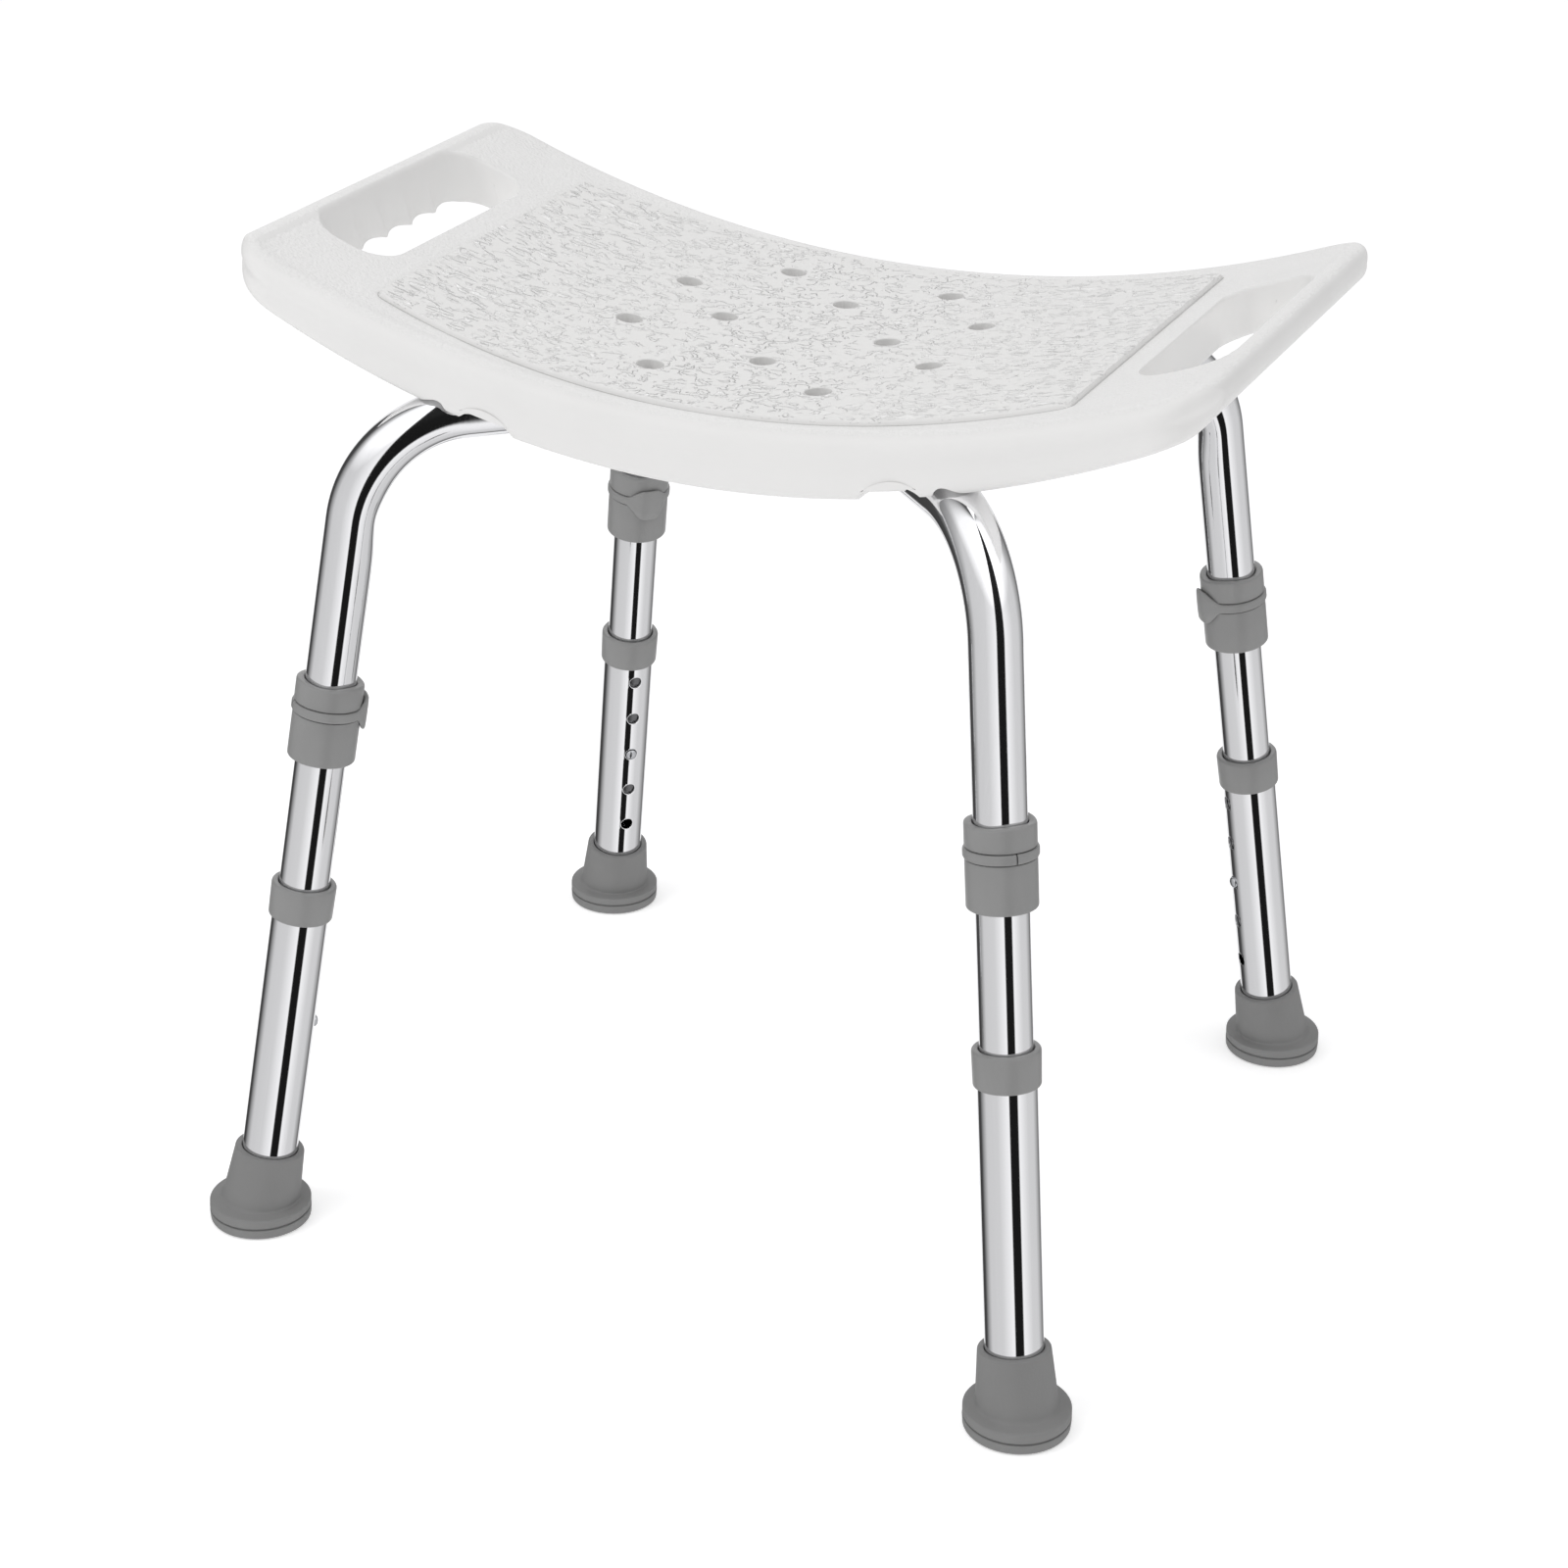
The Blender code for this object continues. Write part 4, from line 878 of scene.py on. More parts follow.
def model_frame_tube(tag, heading, press):
    half = tube_stations()
    stations = half + [(-reach, height, -tilt, past) for reach, height, tilt, past in reversed(half)]
    outside = [tube_ring(station, 0.0, press) for station in stations]
    inside = [tube_ring(station, TUBE_WALL, press) for station in stations]
    tube = make_object(f"frame_tube_{tag}_polished", join_rings(outside + inside[::-1], closed=True))
    low = TUBE_RUN_HEIGHT - 2 * TUBE_RADIUS
    high = TUBE_RUN_HEIGHT + 2 * TUBE_RADIUS
    drills = [upright_cutter("cut_bolt_hole", 0.0, 0.0, BOLT_HOLE_RADIUS, low, high)]
    for side in (-1, 1):
        drills.append(upright_cutter("cut_screw_hole", side * SCREW_REACH, 0.0, SCREW_HOLE_RADIUS, low, high))
    cut(tube, drills)
    tube.rotation_euler.z = heading
    tube.data.materials.clear()
    tube.data.materials.append(BRIGHT)
    fit_piece(tube, "root", "bright_tube", f"frame_tube_{tag}")


model_frame_tube("a", LEG_HEADING, 1)
model_frame_tube("b", -LEG_HEADING, -1)


# ---------------------------------------------------------------------------------------------
# Frame fasteners. A cross-recessed bolt with its washer goes up through both tubes into a brass
# insert moulded in the seat, and four cross-recessed screws hold the tubes' arms to the seat.

FASTENER_SIDES = 40
BOLT_RADIUS = 0.0029
BOLT_HEAD_RADIUS = 0.0056
BOLT_HEAD_HEIGHT = 0.0040
SCREW_RADIUS = 0.0020
SCREW_HEAD_RADIUS = 0.0042
SCREW_HEAD_HEIGHT = 0.0024
THREAD_PITCH = 0.0008
THREAD_DEPTH = 0.00025
RECESS_WIDTH = 0.0011


def rounded_outline(corners, steps=5):
    """A closed outline of (a, b, radius) corners, each rounded by its own radius."""
    points = []
    for i, (a, b, radius) in enumerate(corners):
        here = Vector((a, b))
        if radius == 0:
            points.append((a, b))
            continue
        before = (Vector(corners[i - 1][:2]) - here).normalized()
        after = (Vector(corners[(i + 1) % len(corners)][:2]) - here).normalized()
        half = before.angle(after) / 2
        centre = here + (before + after).normalized() * radius / math.sin(half)
        start = here + before * radius / math.tan(half) - centre
        end = here + after * radius / math.tan(half) - centre
        first = math.atan2(start.y, start.x)
        sweep = (math.atan2(end.y, end.x) - first + math.pi) % (2 * math.pi) - math.pi
        for k in range(steps + 1):
            angle = first + sweep * k / steps
            points.append((centre.x + radius * math.cos(angle), centre.y + radius * math.sin(angle)))
    return points


def turned_skin(outline, sides, closed=True):
    """A (radius, height) outline turned round Z: a closed loop, or from axis to axis for a solid."""
    verts = []
    rings = []
    for radius, height in outline:
        if radius < 1e-7:
            rings.append([len(verts)] * sides)
            verts.append((0.0, 0.0, height))
            continue
        rings.append(list(range(len(verts), len(verts) + sides)))
        for i in range(sides):
            angle = 2 * math.pi * i / sides
            verts.append((radius * math.cos(angle), radius * math.sin(angle), height))
    faces = []
    for low, high in zip(rings, rings[1:] + (rings[:1] if closed else [])):
        for i in range(sides):
            j = (i + 1) % sides
            corners = list(dict.fromkeys((low[i], low[j], high[j], high[i])))
            if len(corners) > 2:
                faces.append(tuple(corners))
    return verts, faces


def coat(piece, finish):
    piece.data.materials.clear()
    piece.data.materials.append(finish)


def zinc_plate():
    """Zinc-plated steel: a soft bluish shine with fine plating grain."""
    finish, tree, shader = new_finish("zinc_plated_steel", (0.62, 0.63, 0.65), 0.28, 1.0)
    lines = handled(tree, shader, 0.26, 0.22, 0.12)
    tint(tree, shader, lines, (0.52, 0.53, 0.56), (0.72, 0.73, 0.74))
    add_bump(tree, shader, lines, 0.08, 0.0002)
    return finish


def turned_brass():
    finish, tree, shader = new_finish("turned_brass", (0.72, 0.55, 0.26), 0.30, 1.0)
    lines = handled(tree, shader, 0.30, 0.20, 0.15)
    tint(tree, shader, lines, (0.62, 0.46, 0.20), (0.80, 0.63, 0.32))
    return finish


ZINC = zinc_plate()
BRASS = turned_brass()


def threaded_pin(radius, head_radius, head_height, seat, tip, point):
    """Outline of a pan-headed pin pointing up, with ring-like threads, from below its head to its tip."""
    low = seat - head_height
    outline = [(0.0, low)]
    for i in range(1, 9):
        angle = math.pi / 2 * i / 8
        outline.append((head_radius * math.sin(angle), seat - head_height * (0.35 + 0.65 * math.cos(angle))))
    outline += [(head_radius, seat), (radius, seat)]
    height = seat + 0.001
    while height < tip - point - THREAD_PITCH:
        outline += [(radius, height), (radius - THREAD_DEPTH, height + THREAD_PITCH / 2)]
        height += THREAD_PITCH
    return outline + [(radius - THREAD_DEPTH, tip - point), (0.0, tip)]


def cross_recess(head_radius, low):
    """The two crossed blades of a driver's recess in a head that faces down."""
    reach = head_radius * 0.55
    blades = []
    for turn in (0.0, math.pi / 2):
        corners = [(-reach, -RECESS_WIDTH / 2), (reach, -RECESS_WIDTH / 2), (reach, RECESS_WIDTH / 2),
                   (-reach, RECESS_WIDTH / 2)]
        spin = Matrix.Rotation(turn, 2)
        rings = []
        for height, share in ((low - 0.001, 1.15), (low + head_radius * 0.30, 0.55)):
            rings.append([(*(spin @ Vector((a * share, b))), height) for a, b in corners])
        blades.append(make_object("cut_recess", join_rings(rings)))
    return blades


def model_pin(name, place, sizes, seat, tip, point, *nodes):
    radius, head_radius, head_height = sizes
    outline = threaded_pin(radius, head_radius, head_height, seat, tip, point)
    pin = make_object(name, turned_skin(outline, FASTENER_SIDES, closed=False))
    cut(pin, cross_recess(head_radius, seat - head_height))
    pin.location = place
    coat(pin, ZINC)
    fit_piece(pin, "root", "zinc_plated_steel", *nodes)


def model_ring(name, node, body, slot_name, finish, bevel, flutes=0):
    """A washer or insert: a flat ring filling its CAD box, with broken edges and maybe fluted outside."""
    low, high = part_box(node)
    middle = (low + high) / 2
    outer = (high.x - low.x) / 2
    bore = BOLT_RADIUS + 0.0004
    tall = (high.z - low.z) / 2
    outline = rounded_outline([
        (bore, -tall, bevel), (outer, -tall, bevel), (outer, tall, bevel), (bore, tall, bevel)])
    ring = make_object(name, turned_skin(outline, 96 if flutes else 64))
    for vert in ring.data.vertices:
        if flutes and math.hypot(vert.co.x, vert.co.y) > outer - bevel * 1.5:
            angle = math.atan2(vert.co.y, vert.co.x)
            shrink = 1.0 - 0.05 * (0.5 + 0.5 * math.cos(flutes * angle))
            vert.co.x *= shrink
            vert.co.y *= shrink
    ring.location = middle
    coat(ring, finish)
    fit_piece(ring, body, slot_name, node)


bolt_low, bolt_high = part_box("centre_bolt")
model_pin("centre_bolt_threaded", (0.0, 0.0, 0.0), (BOLT_RADIUS, BOLT_HEAD_RADIUS, BOLT_HEAD_HEIGHT),
          bolt_low.z + BOLT_HEAD_HEIGHT, bolt_high.z, 0.0006, "centre_bolt")
for tag in LEGS:
    screw_low, screw_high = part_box(f"seat_screw_{tag}")
    screw_middle = (screw_low + screw_high) / 2
    model_pin(f"seat_screw_{tag}_threaded", (screw_middle.x, screw_middle.y, 0.0),
              (SCREW_RADIUS, SCREW_HEAD_RADIUS, SCREW_HEAD_HEIGHT),
              screw_low.z + SCREW_HEAD_HEIGHT, screw_high.z, 0.002, f"seat_screw_{tag}")
model_ring("centre_washer_flat", "centre_washer", "root", "zinc_plated_steel", ZINC, 0.00025)
model_ring("centre_insert_knurled", "centre_insert", "root", "brass", BRASS, 0.0003, flutes=24)


# ---------------------------------------------------------------------------------------------
# Leg couplings. On each leg the bright inner tube butts against the frame tube over a hidden
# sleeve, inside a moulded grey collar. A springy grey clip snaps round the collar's groove; its
# peg goes through collar, tube and sleeve, and its tab, on the side of the stool's middle, pulls it out.

LEG_SIDES = 72
RING_PITCH = 0.0042
HOLE_LIP_ANGLE = 18.0
COLLAR_LOW = 0.262
COLLAR_HIGH = 0.304
COLLAR_BORE = 0.0130
COLLAR_RADIUS = 0.0169
CLIP_HEIGHT = 0.289
CLIP_HALF = 0.0026
GROOVE_FLOOR = 0.0155
COLLAR_WAVE = 0.0009
INNER_TUBE_LOW = 0.082
SLEEVE_REACH = 0.044
BUTTON_HEIGHT = 0.114
BUTTON_HOLE_RADIUS = 0.0036
PEG_RADIUS = 0.0024
PEG_HOLE_RADIUS = 0.0028
CLIP_INNER = 0.0158
CLIP_OUTER = 0.0178
CLIP_TAB_INNER = 0.0172
CLIP_TAB_OUTER = 0.0197
CLIP_TAB_HALF = 0.0092
CLIP_GAP = math.radians(2.5)
CLIP_TAB_CORE = math.radians(10)
CLIP_TAB_REACH = math.radians(44)
CLIP_TAB_DROP = 0.0012
CLIP_EDGE = 0.0009
# Where along the leg's inward direction the clip's peg begins and ends.
PEG_BACK = 0.0115
PEG_FRONT = 0.0182


def side_cutter(name, radius, height, surface, lip=0.0):
    """A drill through a leg tube's inward wall at a height, with a lip that follows the round surface."""
    rings = []
    levels = [(radius, -0.006), (radius, -0.0016)]
    if lip:
        for angle in (0.0, 0.5, 1.0, math.pi / 2):
            levels.append((radius + lip * (1 - math.cos(angle)), -lip * (1 - math.sin(angle))))
    levels.append((radius + lip + (0.0006 if lip else 0.0), 0.003 if not lip else 0.0009))
    for reach, rise in levels:
        ring = []
        for i in range(28):
            angle = 2 * math.pi * i / 28
            y = reach * math.cos(angle)
            bulge = math.sqrt(surface ** 2 - y * y)
            ring.append((bulge + rise, y, height + reach * math.sin(angle)))
        rings.append(ring)
    return make_object(name, join_rings(rings))


def set_on_leg(piece, tag, finish):
    piece.matrix_world = LEGS[tag]
    coat(piece, finish)
    bpy.context.view_layer.update()


def grey_moulded():
    """Mid-grey moulded plastic: satin, faint flow mottling, very fine mould texture."""
    finish, tree, shader = new_finish("grey_moulded_plastic", (0.23, 0.23, 0.23), 0.36)
    grain = add_node(tree, "ShaderNodeGroup", node_tree=GRAIN)
    grain.inputs["Scale"].default_value = 900.0
    tint(tree, shader, grain.outputs["Mottle"], (0.232, 0.232, 0.230), (0.285, 0.285, 0.283))
    handled(tree, shader, 0.36, 0.18, 0.05)
    add_bump(tree, shader, grain.outputs["Height"], 0.18, 0.0002)
    return finish


GREY_PLASTIC = grey_moulded()


def pipe_skin(outer, inner, low, high, sides=LEG_SIDES, edge=0.0003):
    """A straight tube, its end edges just broken, ringed along its length so that holes stay crisp."""
    count = max(2, round((high - low) / RING_PITCH))
    levels = [low + (high - low) * i / count for i in range(1, count)]
    corners = [(inner, low, edge), (outer, low, edge)] + [(outer, z, 0) for z in levels]
    corners += [(outer, high, edge), (inner, high, edge)] + [(inner, z, 0) for z in reversed(levels)]
    return turned_skin(rounded_outline(corners, 3), sides)


def model_collar(tag):
    """The collar: soft rims, the clip's groove, and a gently waving upper rim."""
    low = CLIP_HEIGHT - CLIP_HALF - 0.0003
    high = CLIP_HEIGHT + CLIP_HALF + 0.0003
    outline = rounded_outline([
        (COLLAR_BORE, COLLAR_LOW, 0.0006), (COLLAR_RADIUS, COLLAR_LOW, 0.0012),
        (COLLAR_RADIUS, low, 0.0004), (GROOVE_FLOOR, low, 0.0003), (GROOVE_FLOOR, high, 0.0003),
        (COLLAR_RADIUS, high, 0.0004), (COLLAR_RADIUS, COLLAR_HIGH, 0.0014),
        (COLLAR_BORE, COLLAR_HIGH, 0.0010)], 4)
    collar = make_object(f"coupling_collar_{tag}_moulded", turned_skin(outline, LEG_SIDES))
    for vert in collar.data.vertices:
        angle = math.atan2(vert.co.y, vert.co.x)
        above = smooth_step(high + 0.002, COLLAR_HIGH, vert.co.z)
        vert.co.z -= COLLAR_WAVE * above * (1 + math.cos(3 * angle)) / 2
    cut(collar, [side_cutter("cut_peg_hole", PEG_HOLE_RADIUS, CLIP_HEIGHT, GROOVE_FLOOR)])
    set_on_leg(collar, tag, GREY_PLASTIC)
    fit_piece(collar, "root", "grey_plastic", f"coupling_collar_{tag}")


def bright_polish_painted_shade():
    """The same bright tube, with a dark, rougher band down its inward side below the outer tube's top: the
    dark colour is painted shade for the inside of the outer tube's holes.
    """
    finish, tree, shader = new_finish("bright_tube_painted_shade", (0.93, 0.93, 0.94), 0.08, 1.0)
    split = add_node(tree, "ShaderNodeSeparateXYZ")
    tree.links.new(add_node(tree, "ShaderNodeTexCoord").outputs["Object"], split.inputs[0])
    below = add_node(tree, "ShaderNodeMapRange", {"From Min": 0.178, "From Max": 0.173})
    tree.links.new(split.outputs["Z"], below.inputs["Value"])
    inward = add_node(tree, "ShaderNodeMapRange", {"From Min": 0.0108, "From Max": 0.0120})
    tree.links.new(split.outputs["X"], inward.inputs["Value"])
    track = maths(tree, "MULTIPLY", below.outputs[0], inward.outputs[0])
    # Painted shade: the band's base colour goes dark, standing in for the shadow seen through the outer
    # tube's holes.
    tint(tree, shader, track, (0.93, 0.93, 0.94), (0.20, 0.20, 0.205))
    lines = handled(tree, shader, 0.065, 0.05, 0.03)
    vary_roughness(tree, shader, track, 0.07, 0.34)
    add_bump(tree, shader, lines, 0.03, 0.0001)
    return finish


BRIGHT_PAINTED_SHADE = bright_polish_painted_shade()


def model_inner_tube(tag):
    tube = make_object(f"leg_inner_tube_{tag}_polished", pipe_skin(
        TUBE_RADIUS, TUBE_RADIUS - TUBE_WALL, INNER_TUBE_LOW, LEG_JOINT - 0.0003))
    cut(tube, [side_cutter("cut_button_hole", BUTTON_HOLE_RADIUS, BUTTON_HEIGHT, TUBE_RADIUS, 0.0003),
               side_cutter("cut_peg_hole", PEG_HOLE_RADIUS, CLIP_HEIGHT, TUBE_RADIUS)], sharp=HOLE_LIP_ANGLE)
    # The inner tube's finish carries a painted-shade band down its inward side.
    set_on_leg(tube, tag, BRIGHT_PAINTED_SHADE)
    fit_piece(tube, "root", "bright_tube", f"leg_inner_tube_{tag}")
    outer = TUBE_RADIUS - TUBE_WALL - 0.0003
    sleeve = make_object(f"leg_sleeve_{tag}_polished", pipe_skin(
        outer, outer - TUBE_WALL, LEG_JOINT - SLEEVE_REACH, LEG_JOINT + SLEEVE_REACH))
    cut(sleeve, [side_cutter("cut_peg_hole", PEG_HOLE_RADIUS, CLIP_HEIGHT, outer)])
    set_on_leg(sleeve, tag, BRIGHT)
    fit_piece(sleeve, "root", "bright_tube", f"leg_sleeve_{tag}")


def clip_ring(angle):
    """The clip's cross-section at an angle round the leg: a narrow band that swells into the tab."""
    swell = 1.0 - smooth_step(CLIP_TAB_CORE, CLIP_TAB_REACH, abs(angle))
    half = CLIP_HALF + (CLIP_TAB_HALF - CLIP_HALF) * swell
    outer = CLIP_OUTER + (CLIP_TAB_OUTER - CLIP_OUTER) * swell
    shelf = min(CLIP_TAB_INNER, outer - 0.0012)
    edge = min(CLIP_EDGE, (half - 0.0002) / 2)
    upper = [(CLIP_INNER, 0.0), (CLIP_INNER, CLIP_HALF * 0.98), (shelf, CLIP_HALF),
             (shelf + 0.0001, max(half - edge, CLIP_HALF + 0.00001)),
             (outer - edge - 0.0003, half - 0.0001), (outer - edge * 0.5, half - edge * 0.3),
             (outer, half - edge * 1.3), (outer + 0.0002 * swell, half * 0.4)]
    lower = [(r, -z) for r, z in reversed(upper)]
    loop = upper + lower[:-1] + [(CLIP_INNER, -0.0001)]
    middle = CLIP_HEIGHT - CLIP_TAB_DROP * swell
    return [(r * math.cos(angle), r * math.sin(angle), middle + z) for r, z in loop]


def to_leg_side(piece, height):
    """Turns a piece made along Z so that it points to the stool's middle, at a height on the leg."""
    quarter = Matrix.Rotation(math.pi / 2, 4, "Y")
    piece.data.transform(Matrix.Translation((0.0, 0.0, height)) @ quarter)


def bridge_piece(piece, node):
    """Bakes a piece's placement into its mesh, and hides the CAD node that it stands in for."""
    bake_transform(piece)
    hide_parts(node)


def model_clip(tag):
    end = math.pi - CLIP_GAP / 2
    count = 96
    rings = [clip_ring(-end + 2 * end * i / count) for i in range(count + 1)]
    clip = make_object(f"lock_clip_{tag}_moulded", join_rings(rings), sharp=40.0)
    coat(clip, GREY_PLASTIC)
    outline = rounded_outline([(0.0, PEG_BACK, 0.0), (PEG_RADIUS, PEG_BACK, 0.0006),
                               (PEG_RADIUS, PEG_FRONT, 0.0), (0.0, PEG_FRONT, 0.0)], 4)
    peg = make_object(f"clip_peg_{tag}", turned_skin(outline, 32, closed=False))
    to_leg_side(peg, CLIP_HEIGHT)
    coat(peg, GREY_PLASTIC)
    for piece in (clip, peg):
        piece.data.transform(LEGS[tag])
    bridge_piece(clip, f"lock_clip_{tag}")
    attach(peg, f"clip_{tag}")


for tag in LEGS:
    model_collar(tag)
    model_inner_tube(tag)
    model_clip(tag)


# ---------------------------------------------------------------------------------------------
# Height buttons. A domed steel button shows through one of the outer tube's holes and is pushed
# out by a V of flat steel spring that sits loose inside the inner tube.

BUTTON_RADIUS = 0.0032
BUTTON_TIP = 0.0163
BUTTON_FLANGE_RADIUS = 0.0046
BUTTON_BACK = 0.00907
BUTTON_FRONT = 0.01027
SPRING_WIDTH = 0.006
SPRING_THICKNESS = 0.0008
SPRING_DROP = 0.026
SPRING_FAR = -0.0108
SPRING_BEND = 0.0026


def model_button(tag):
    dome = [(BUTTON_RADIUS * math.cos(a), BUTTON_TIP - 0.0018 * (1 - math.sin(a)))
            for a in [math.pi / 2 * i / 8 for i in range(8)]]
    outline = [(0.0, BUTTON_BACK), (BUTTON_FLANGE_RADIUS - 0.0003, BUTTON_BACK),
               (BUTTON_FLANGE_RADIUS, BUTTON_BACK + 0.0003), (BUTTON_FLANGE_RADIUS, BUTTON_FRONT - 0.0003),
               (BUTTON_FLANGE_RADIUS - 0.0003, BUTTON_FRONT), (BUTTON_RADIUS, BUTTON_FRONT)]
    outline += dome + [(0.0, BUTTON_TIP)]
    button = make_object(f"snap_button_{tag}_domed", turned_skin(outline, 40, closed=False))
    to_leg_side(button, BUTTON_HEIGHT)
    set_on_leg(button, tag, ZINC)
    fit_piece(button, f"button_{tag}", "zinc_plated_steel", f"snap_button_{tag}")


def spring_line():
    """The strip's middle line from the button down round the V and up to the far wall, as (x, z)."""
    near = BUTTON_BACK - 0.0003 - SPRING_THICKNESS / 2
    far = SPRING_FAR
    middle = (near + far) / 2
    bend = SPRING_BEND
    low = -SPRING_DROP + bend
    line = [(near, BUTTON_RADIUS * (1 - 2 * i / 6)) for i in range(7)]
    for i in range(1, 12):
        line.append((near + (middle + bend - near) * i / 12, -BUTTON_RADIUS + (low + BUTTON_RADIUS) * i / 12))
    for i in range(11):
        angle = math.pi * i / 10
        line.append((middle + bend * math.cos(angle), low - bend * math.sin(angle)))
    for i in range(1, 12):
        line.append((middle - bend + (far - middle + bend) * i / 12, low + (-BUTTON_RADIUS - low) * i / 12))
    return line + [(far, -BUTTON_RADIUS * (1 - 2 * i / 6)) for i in range(7)]


def model_spring(tag):
    line = spring_line()
    rings = []
    for i, (x, z) in enumerate(line):
        ahead = Vector(line[min(i + 1, len(line) - 1)]) - Vector(line[max(i - 1, 0)])
        side = Vector((-ahead.y, ahead.x)).normalized() * SPRING_THICKNESS / 2
        wide = SPRING_WIDTH / 2
        section = [(-wide, -1.0), (wide, -1.0), (wide, 1.0), (-wide, 1.0)]
        rings.append([(x + side.x * b, a, BUTTON_HEIGHT + z + side.y * b) for a, b in section])
    spring = make_object(f"button_spring_{tag}_strip", join_rings(rings))
    coat(spring, ZINC)
    spring.data.transform(LEGS[tag])
    bridge_piece(spring, f"button_spring_{tag}")


for tag in LEGS:
    model_button(tag)
    model_spring(tag)


# ---------------------------------------------------------------------------------------------
# Outer leg tubes. A wider bright tube slides over each inner tube, with five punched holes on the
# side of the stool's middle for the button, and a grey moulded ferrule pressed on its top.

OUTER_TUBE_RADIUS = 0.0143
OUTER_TUBE_LOW = 0.0087
OUTER_TUBE_HIGH = 0.1902
HOLE_PITCH = 0.0254
FERRULE_LOW = 0.1745
FERRULE_HIGH = 0.1930
FERRULE_RADIUS = 0.01645


def model_outer_tube(tag):
    tube = make_object(f"leg_outer_tube_{tag}_polished", pipe_skin(
        OUTER_TUBE_RADIUS, OUTER_TUBE_RADIUS - TUBE_WALL, OUTER_TUBE_LOW, OUTER_TUBE_HIGH))
    heights = [BUTTON_HEIGHT + HOLE_PITCH * i for i in (-2, -1, 0, 1, 2)]
    punches = []
    for height in heights:
        punches.append(side_cutter("cut_height_hole", BUTTON_HOLE_RADIUS, height, OUTER_TUBE_RADIUS, 0.0004))
    cut(tube, punches, sharp=HOLE_LIP_ANGLE)
    set_on_leg(tube, tag, BRIGHT)
    fit_piece(tube, f"lower_leg_{tag}", "bright_tube", f"leg_outer_tube_{tag}")


def model_ferrule(tag):
    sleeve = OUTER_TUBE_RADIUS + 0.0003
    lip = OUTER_TUBE_HIGH + 0.0003
    outline = rounded_outline([
        (sleeve, FERRULE_LOW, 0.0003), (FERRULE_RADIUS - 0.0003, FERRULE_LOW, 0.0011),
        (FERRULE_RADIUS, FERRULE_HIGH, 0.0015), (COLLAR_BORE + 0.0006, FERRULE_HIGH, 0.0004),
        (COLLAR_BORE, FERRULE_HIGH - 0.0010, 0.0), (COLLAR_BORE, lip, 0.0002), (sleeve, lip, 0.0002)], 4)
    ferrule = make_object(f"ferrule_{tag}_moulded", turned_skin(outline, LEG_SIDES))
    set_on_leg(ferrule, tag, GREY_PLASTIC)
    fit_piece(ferrule, f"lower_leg_{tag}", "grey_plastic", f"ferrule_{tag}")


for tag in LEGS:
    model_outer_tube(tag)
    model_ferrule(tag)


# ---------------------------------------------------------------------------------------------
# Feet. Moulded grey rubber: a cup gripping the leaning tube flows into a level flange with rings
# of tread underneath. A plated steel washer under the tube keeps it from cutting through.

FOOT_FLANGE_RADIUS = 0.0264
FOOT_FLANGE_HIGH = 0.0115
FOOT_CUP_RADIUS = 0.0178
FOOT_CUP_HIGH = 0.0405
FOOT_WAIST_RADIUS = 0.0190
FOOT_WAIST_HIGH = 0.0140
FOOT_BORE_RADIUS = OUTER_TUBE_RADIUS + 0.0003
FOOT_BORE_LOW = 0.0069
FOOT_LEAN_FROM = 0.008
FOOT_LEAN_FULL = 0.020
TREAD_MIDDLES = (0.008, 0.014, 0.020)
TREAD_HALF_MOUTH = 0.0016
TREAD_HALF_FLOOR = 0.0010
TREAD_DEPTH = 0.0008
WASHER_THICKNESS = 0.0012
WASHER_RADIUS = 0.0135
WASHER_LOW = 0.0072


def grey_rubber():
    """Mid-grey rubber: matt, slightly dusty, with a soft pebbled skin."""
    finish, tree, shader = new_finish("grey_rubber", (0.20, 0.20, 0.20), 0.55)
    grain = add_node(tree, "ShaderNodeGroup", node_tree=GRAIN)
    grain.inputs["Scale"].default_value = 700.0
    tint(tree, shader, grain.outputs["Mottle"], (0.190, 0.190, 0.188), (0.245, 0.245, 0.243))
    vary_roughness(tree, shader, grain.outputs["Mottle"], 0.48, 0.66)
    add_bump(tree, shader, grain.outputs["Height"], 0.25, 0.0002)
    return finish


RUBBER = grey_rubber()


def foot_outline():
    """The foot's outside from the floor up, as (radius, height, lean share): level below, leaning above."""
    side = rounded_outline([
        (0.0, 0.0, 0.0), (FOOT_FLANGE_RADIUS - 0.0004, 0.0, 0.0012), (FOOT_FLANGE_RADIUS, 0.0052, 0.0006),
        (FOOT_FLANGE_RADIUS - 0.0012, 0.0054, 0.0003), (FOOT_FLANGE_RADIUS - 0.0012, 0.0062, 0.0003),
        (FOOT_FLANGE_RADIUS - 0.0001, 0.0064, 0.0005),
        (FOOT_FLANGE_RADIUS - 0.0001, FOOT_FLANGE_HIGH - 0.0006, 0.0010),
        (FOOT_WAIST_RADIUS + 0.0012, FOOT_WAIST_HIGH - 0.0020, 0.0022),
        (FOOT_CUP_RADIUS, FOOT_CUP_HIGH, 0.0012), (FOOT_BORE_RADIUS, FOOT_CUP_HIGH, 0.0005),
        (FOOT_BORE_RADIUS, FOOT_BORE_LOW, 0.0), (0.0, FOOT_BORE_LOW, 0.0)], 6)
    stations = []
    for radius, height in side[1:-1]:
        outside = radius > FOOT_BORE_RADIUS + 0.0001
        lean = smooth_step(FOOT_LEAN_FROM, FOOT_LEAN_FULL, height) if outside else 1.0
        stations.append((radius, height, lean))
    return stations


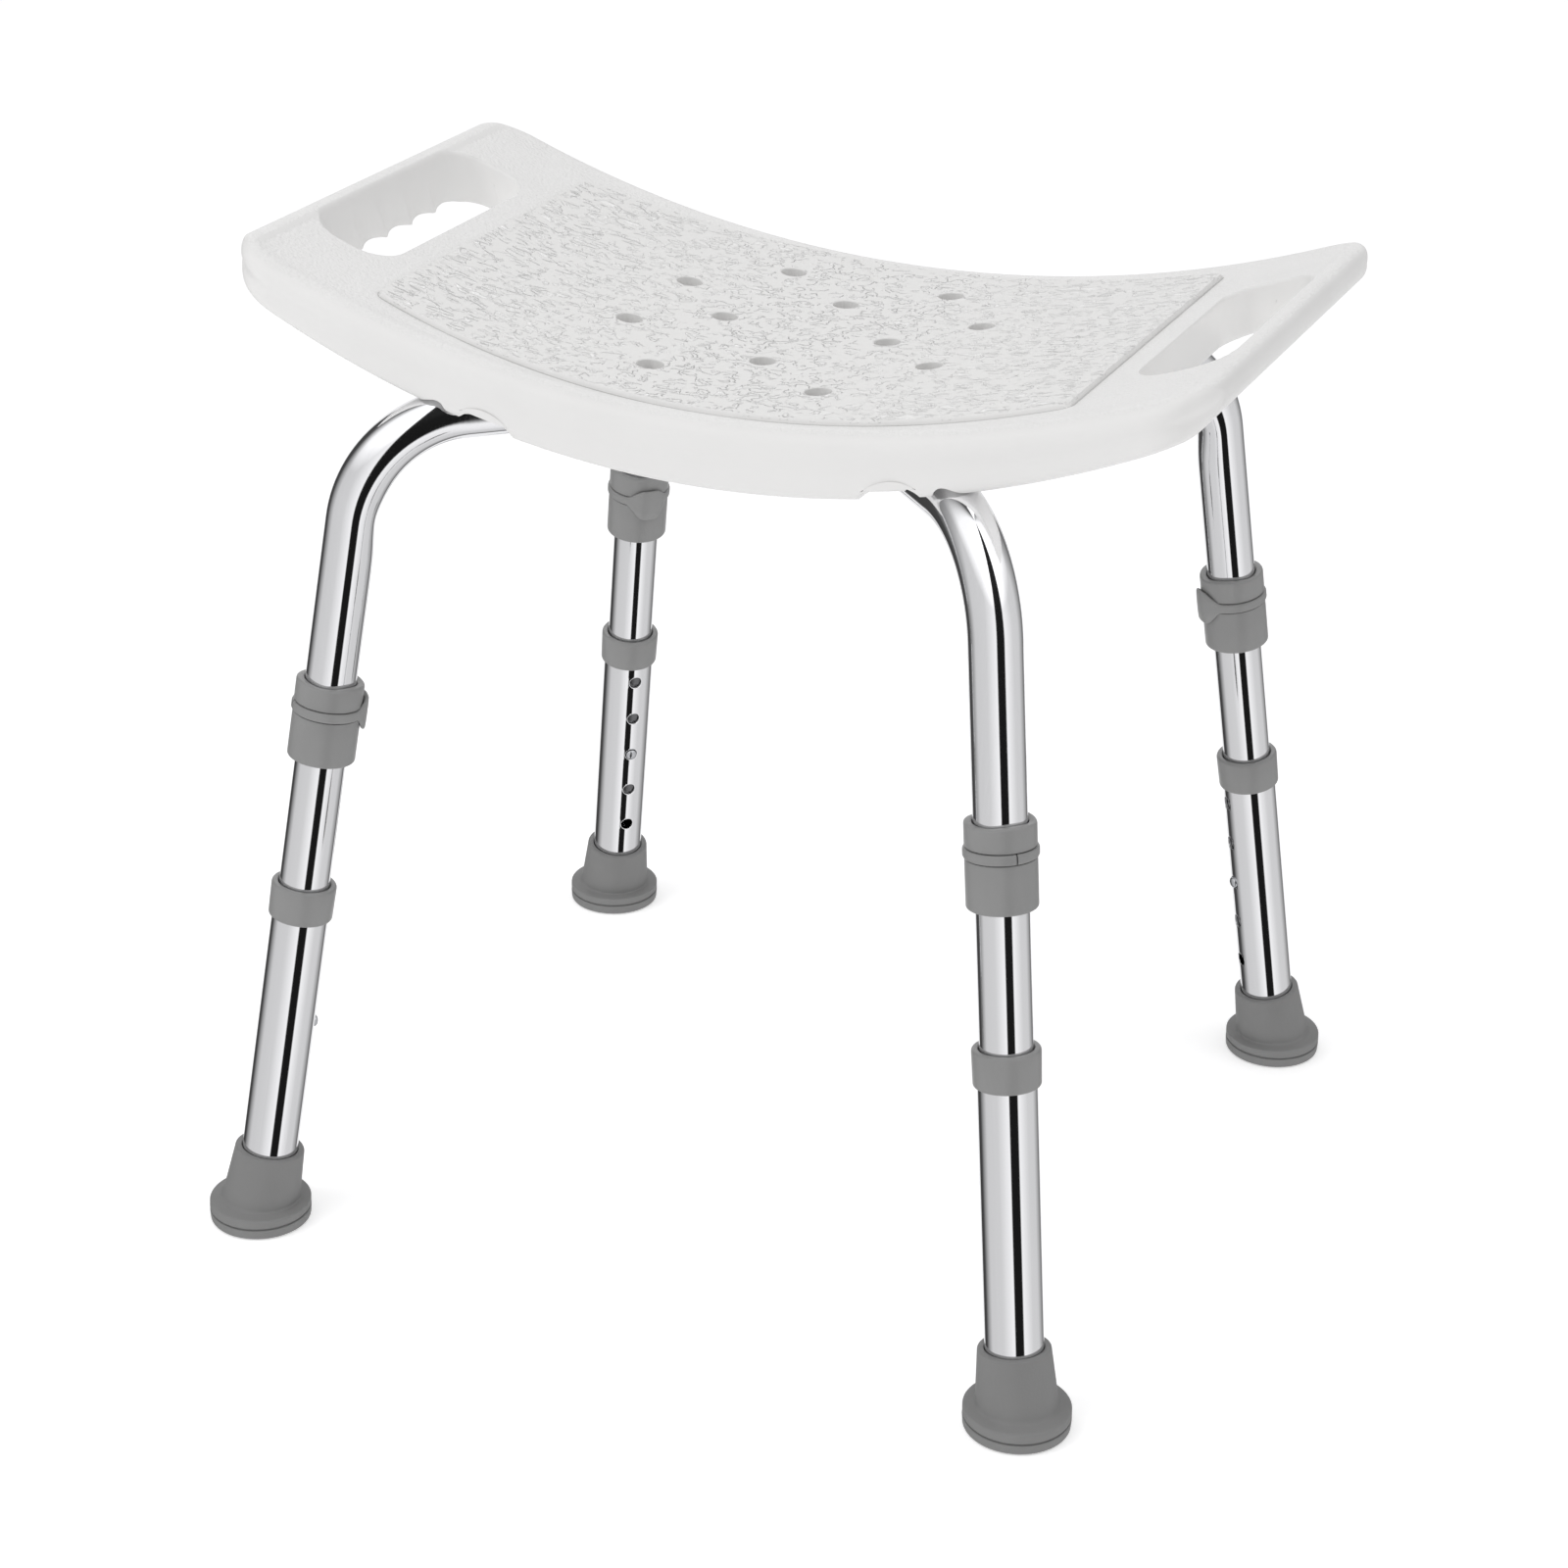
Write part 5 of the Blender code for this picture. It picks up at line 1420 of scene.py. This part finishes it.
def model_foot(tag):
    lean_turn = LEGS[tag].to_3x3()
    heading = math.atan2(lean_turn.col[0].y, lean_turn.col[0].x)
    level_turn = Matrix.Rotation(heading, 3, "Z")
    sides = LEG_SIDES
    treads = []
    for middle in TREAD_MIDDLES:
        treads += [(middle - TREAD_HALF_MOUTH, 0.0), (middle - TREAD_HALF_FLOOR, TREAD_DEPTH),
                   (middle + TREAD_HALF_FLOOR, TREAD_DEPTH), (middle + TREAD_HALF_MOUTH, 0.0)]
    stations = [(r, h, 0.0) for r, h in treads] + foot_outline()
    verts = [(0.0, 0.0, 0.0)]
    faces = []
    for radius, height, lean in stations:
        start = len(verts)
        for i in range(sides):
            angle = 2 * math.pi * i / sides
            ring_point = Vector((radius * math.cos(angle), radius * math.sin(angle), 0.0))
            level = level_turn @ (ring_point + Vector((0.0, 0.0, height)))
            leaning = lean_turn @ (ring_point + Vector((0.0, 0.0, height)))
            verts.append(tuple(level.lerp(leaning, lean)))
        if start == 1:
            faces += [(0, 1 + (i + 1) % sides, 1 + i) for i in range(sides)]
        else:
            for i in range(sides):
                j = (i + 1) % sides
                faces.append((start - sides + i, start - sides + j, start + j, start + i))
    verts.append(tuple(lean_turn @ Vector((0.0, 0.0, stations[-1][1]))))
    last = len(verts) - 1
    faces += [(last, last - sides + i, last - sides + (i + 1) % sides) for i in range(sides)]
    foot = make_object(f"foot_{tag}_moulded", (verts, faces), sharp=40.0)
    foot.location = LEGS[tag].translation
    coat(foot, RUBBER)
    bpy.context.view_layer.update()
    fit_piece(foot, f"lower_leg_{tag}", "grey_rubber", f"foot_{tag}")


def model_foot_washer(tag):
    high = WASHER_LOW + WASHER_THICKNESS
    outline = [(0.0, WASHER_LOW), (WASHER_RADIUS - 0.0003, WASHER_LOW), (WASHER_RADIUS, WASHER_LOW + 0.0003),
               (WASHER_RADIUS, high - 0.0003), (WASHER_RADIUS - 0.0003, high), (0.0, high)]
    washer = make_object(f"foot_washer_{tag}_pressed", turned_skin(outline, LEG_SIDES, closed=False))
    set_on_leg(washer, tag, ZINC)
    fit_piece(washer, f"lower_leg_{tag}", "zinc_plated_steel", f"foot_washer_{tag}")


for tag in LEGS:
    model_foot(tag)
    model_foot_washer(tag)
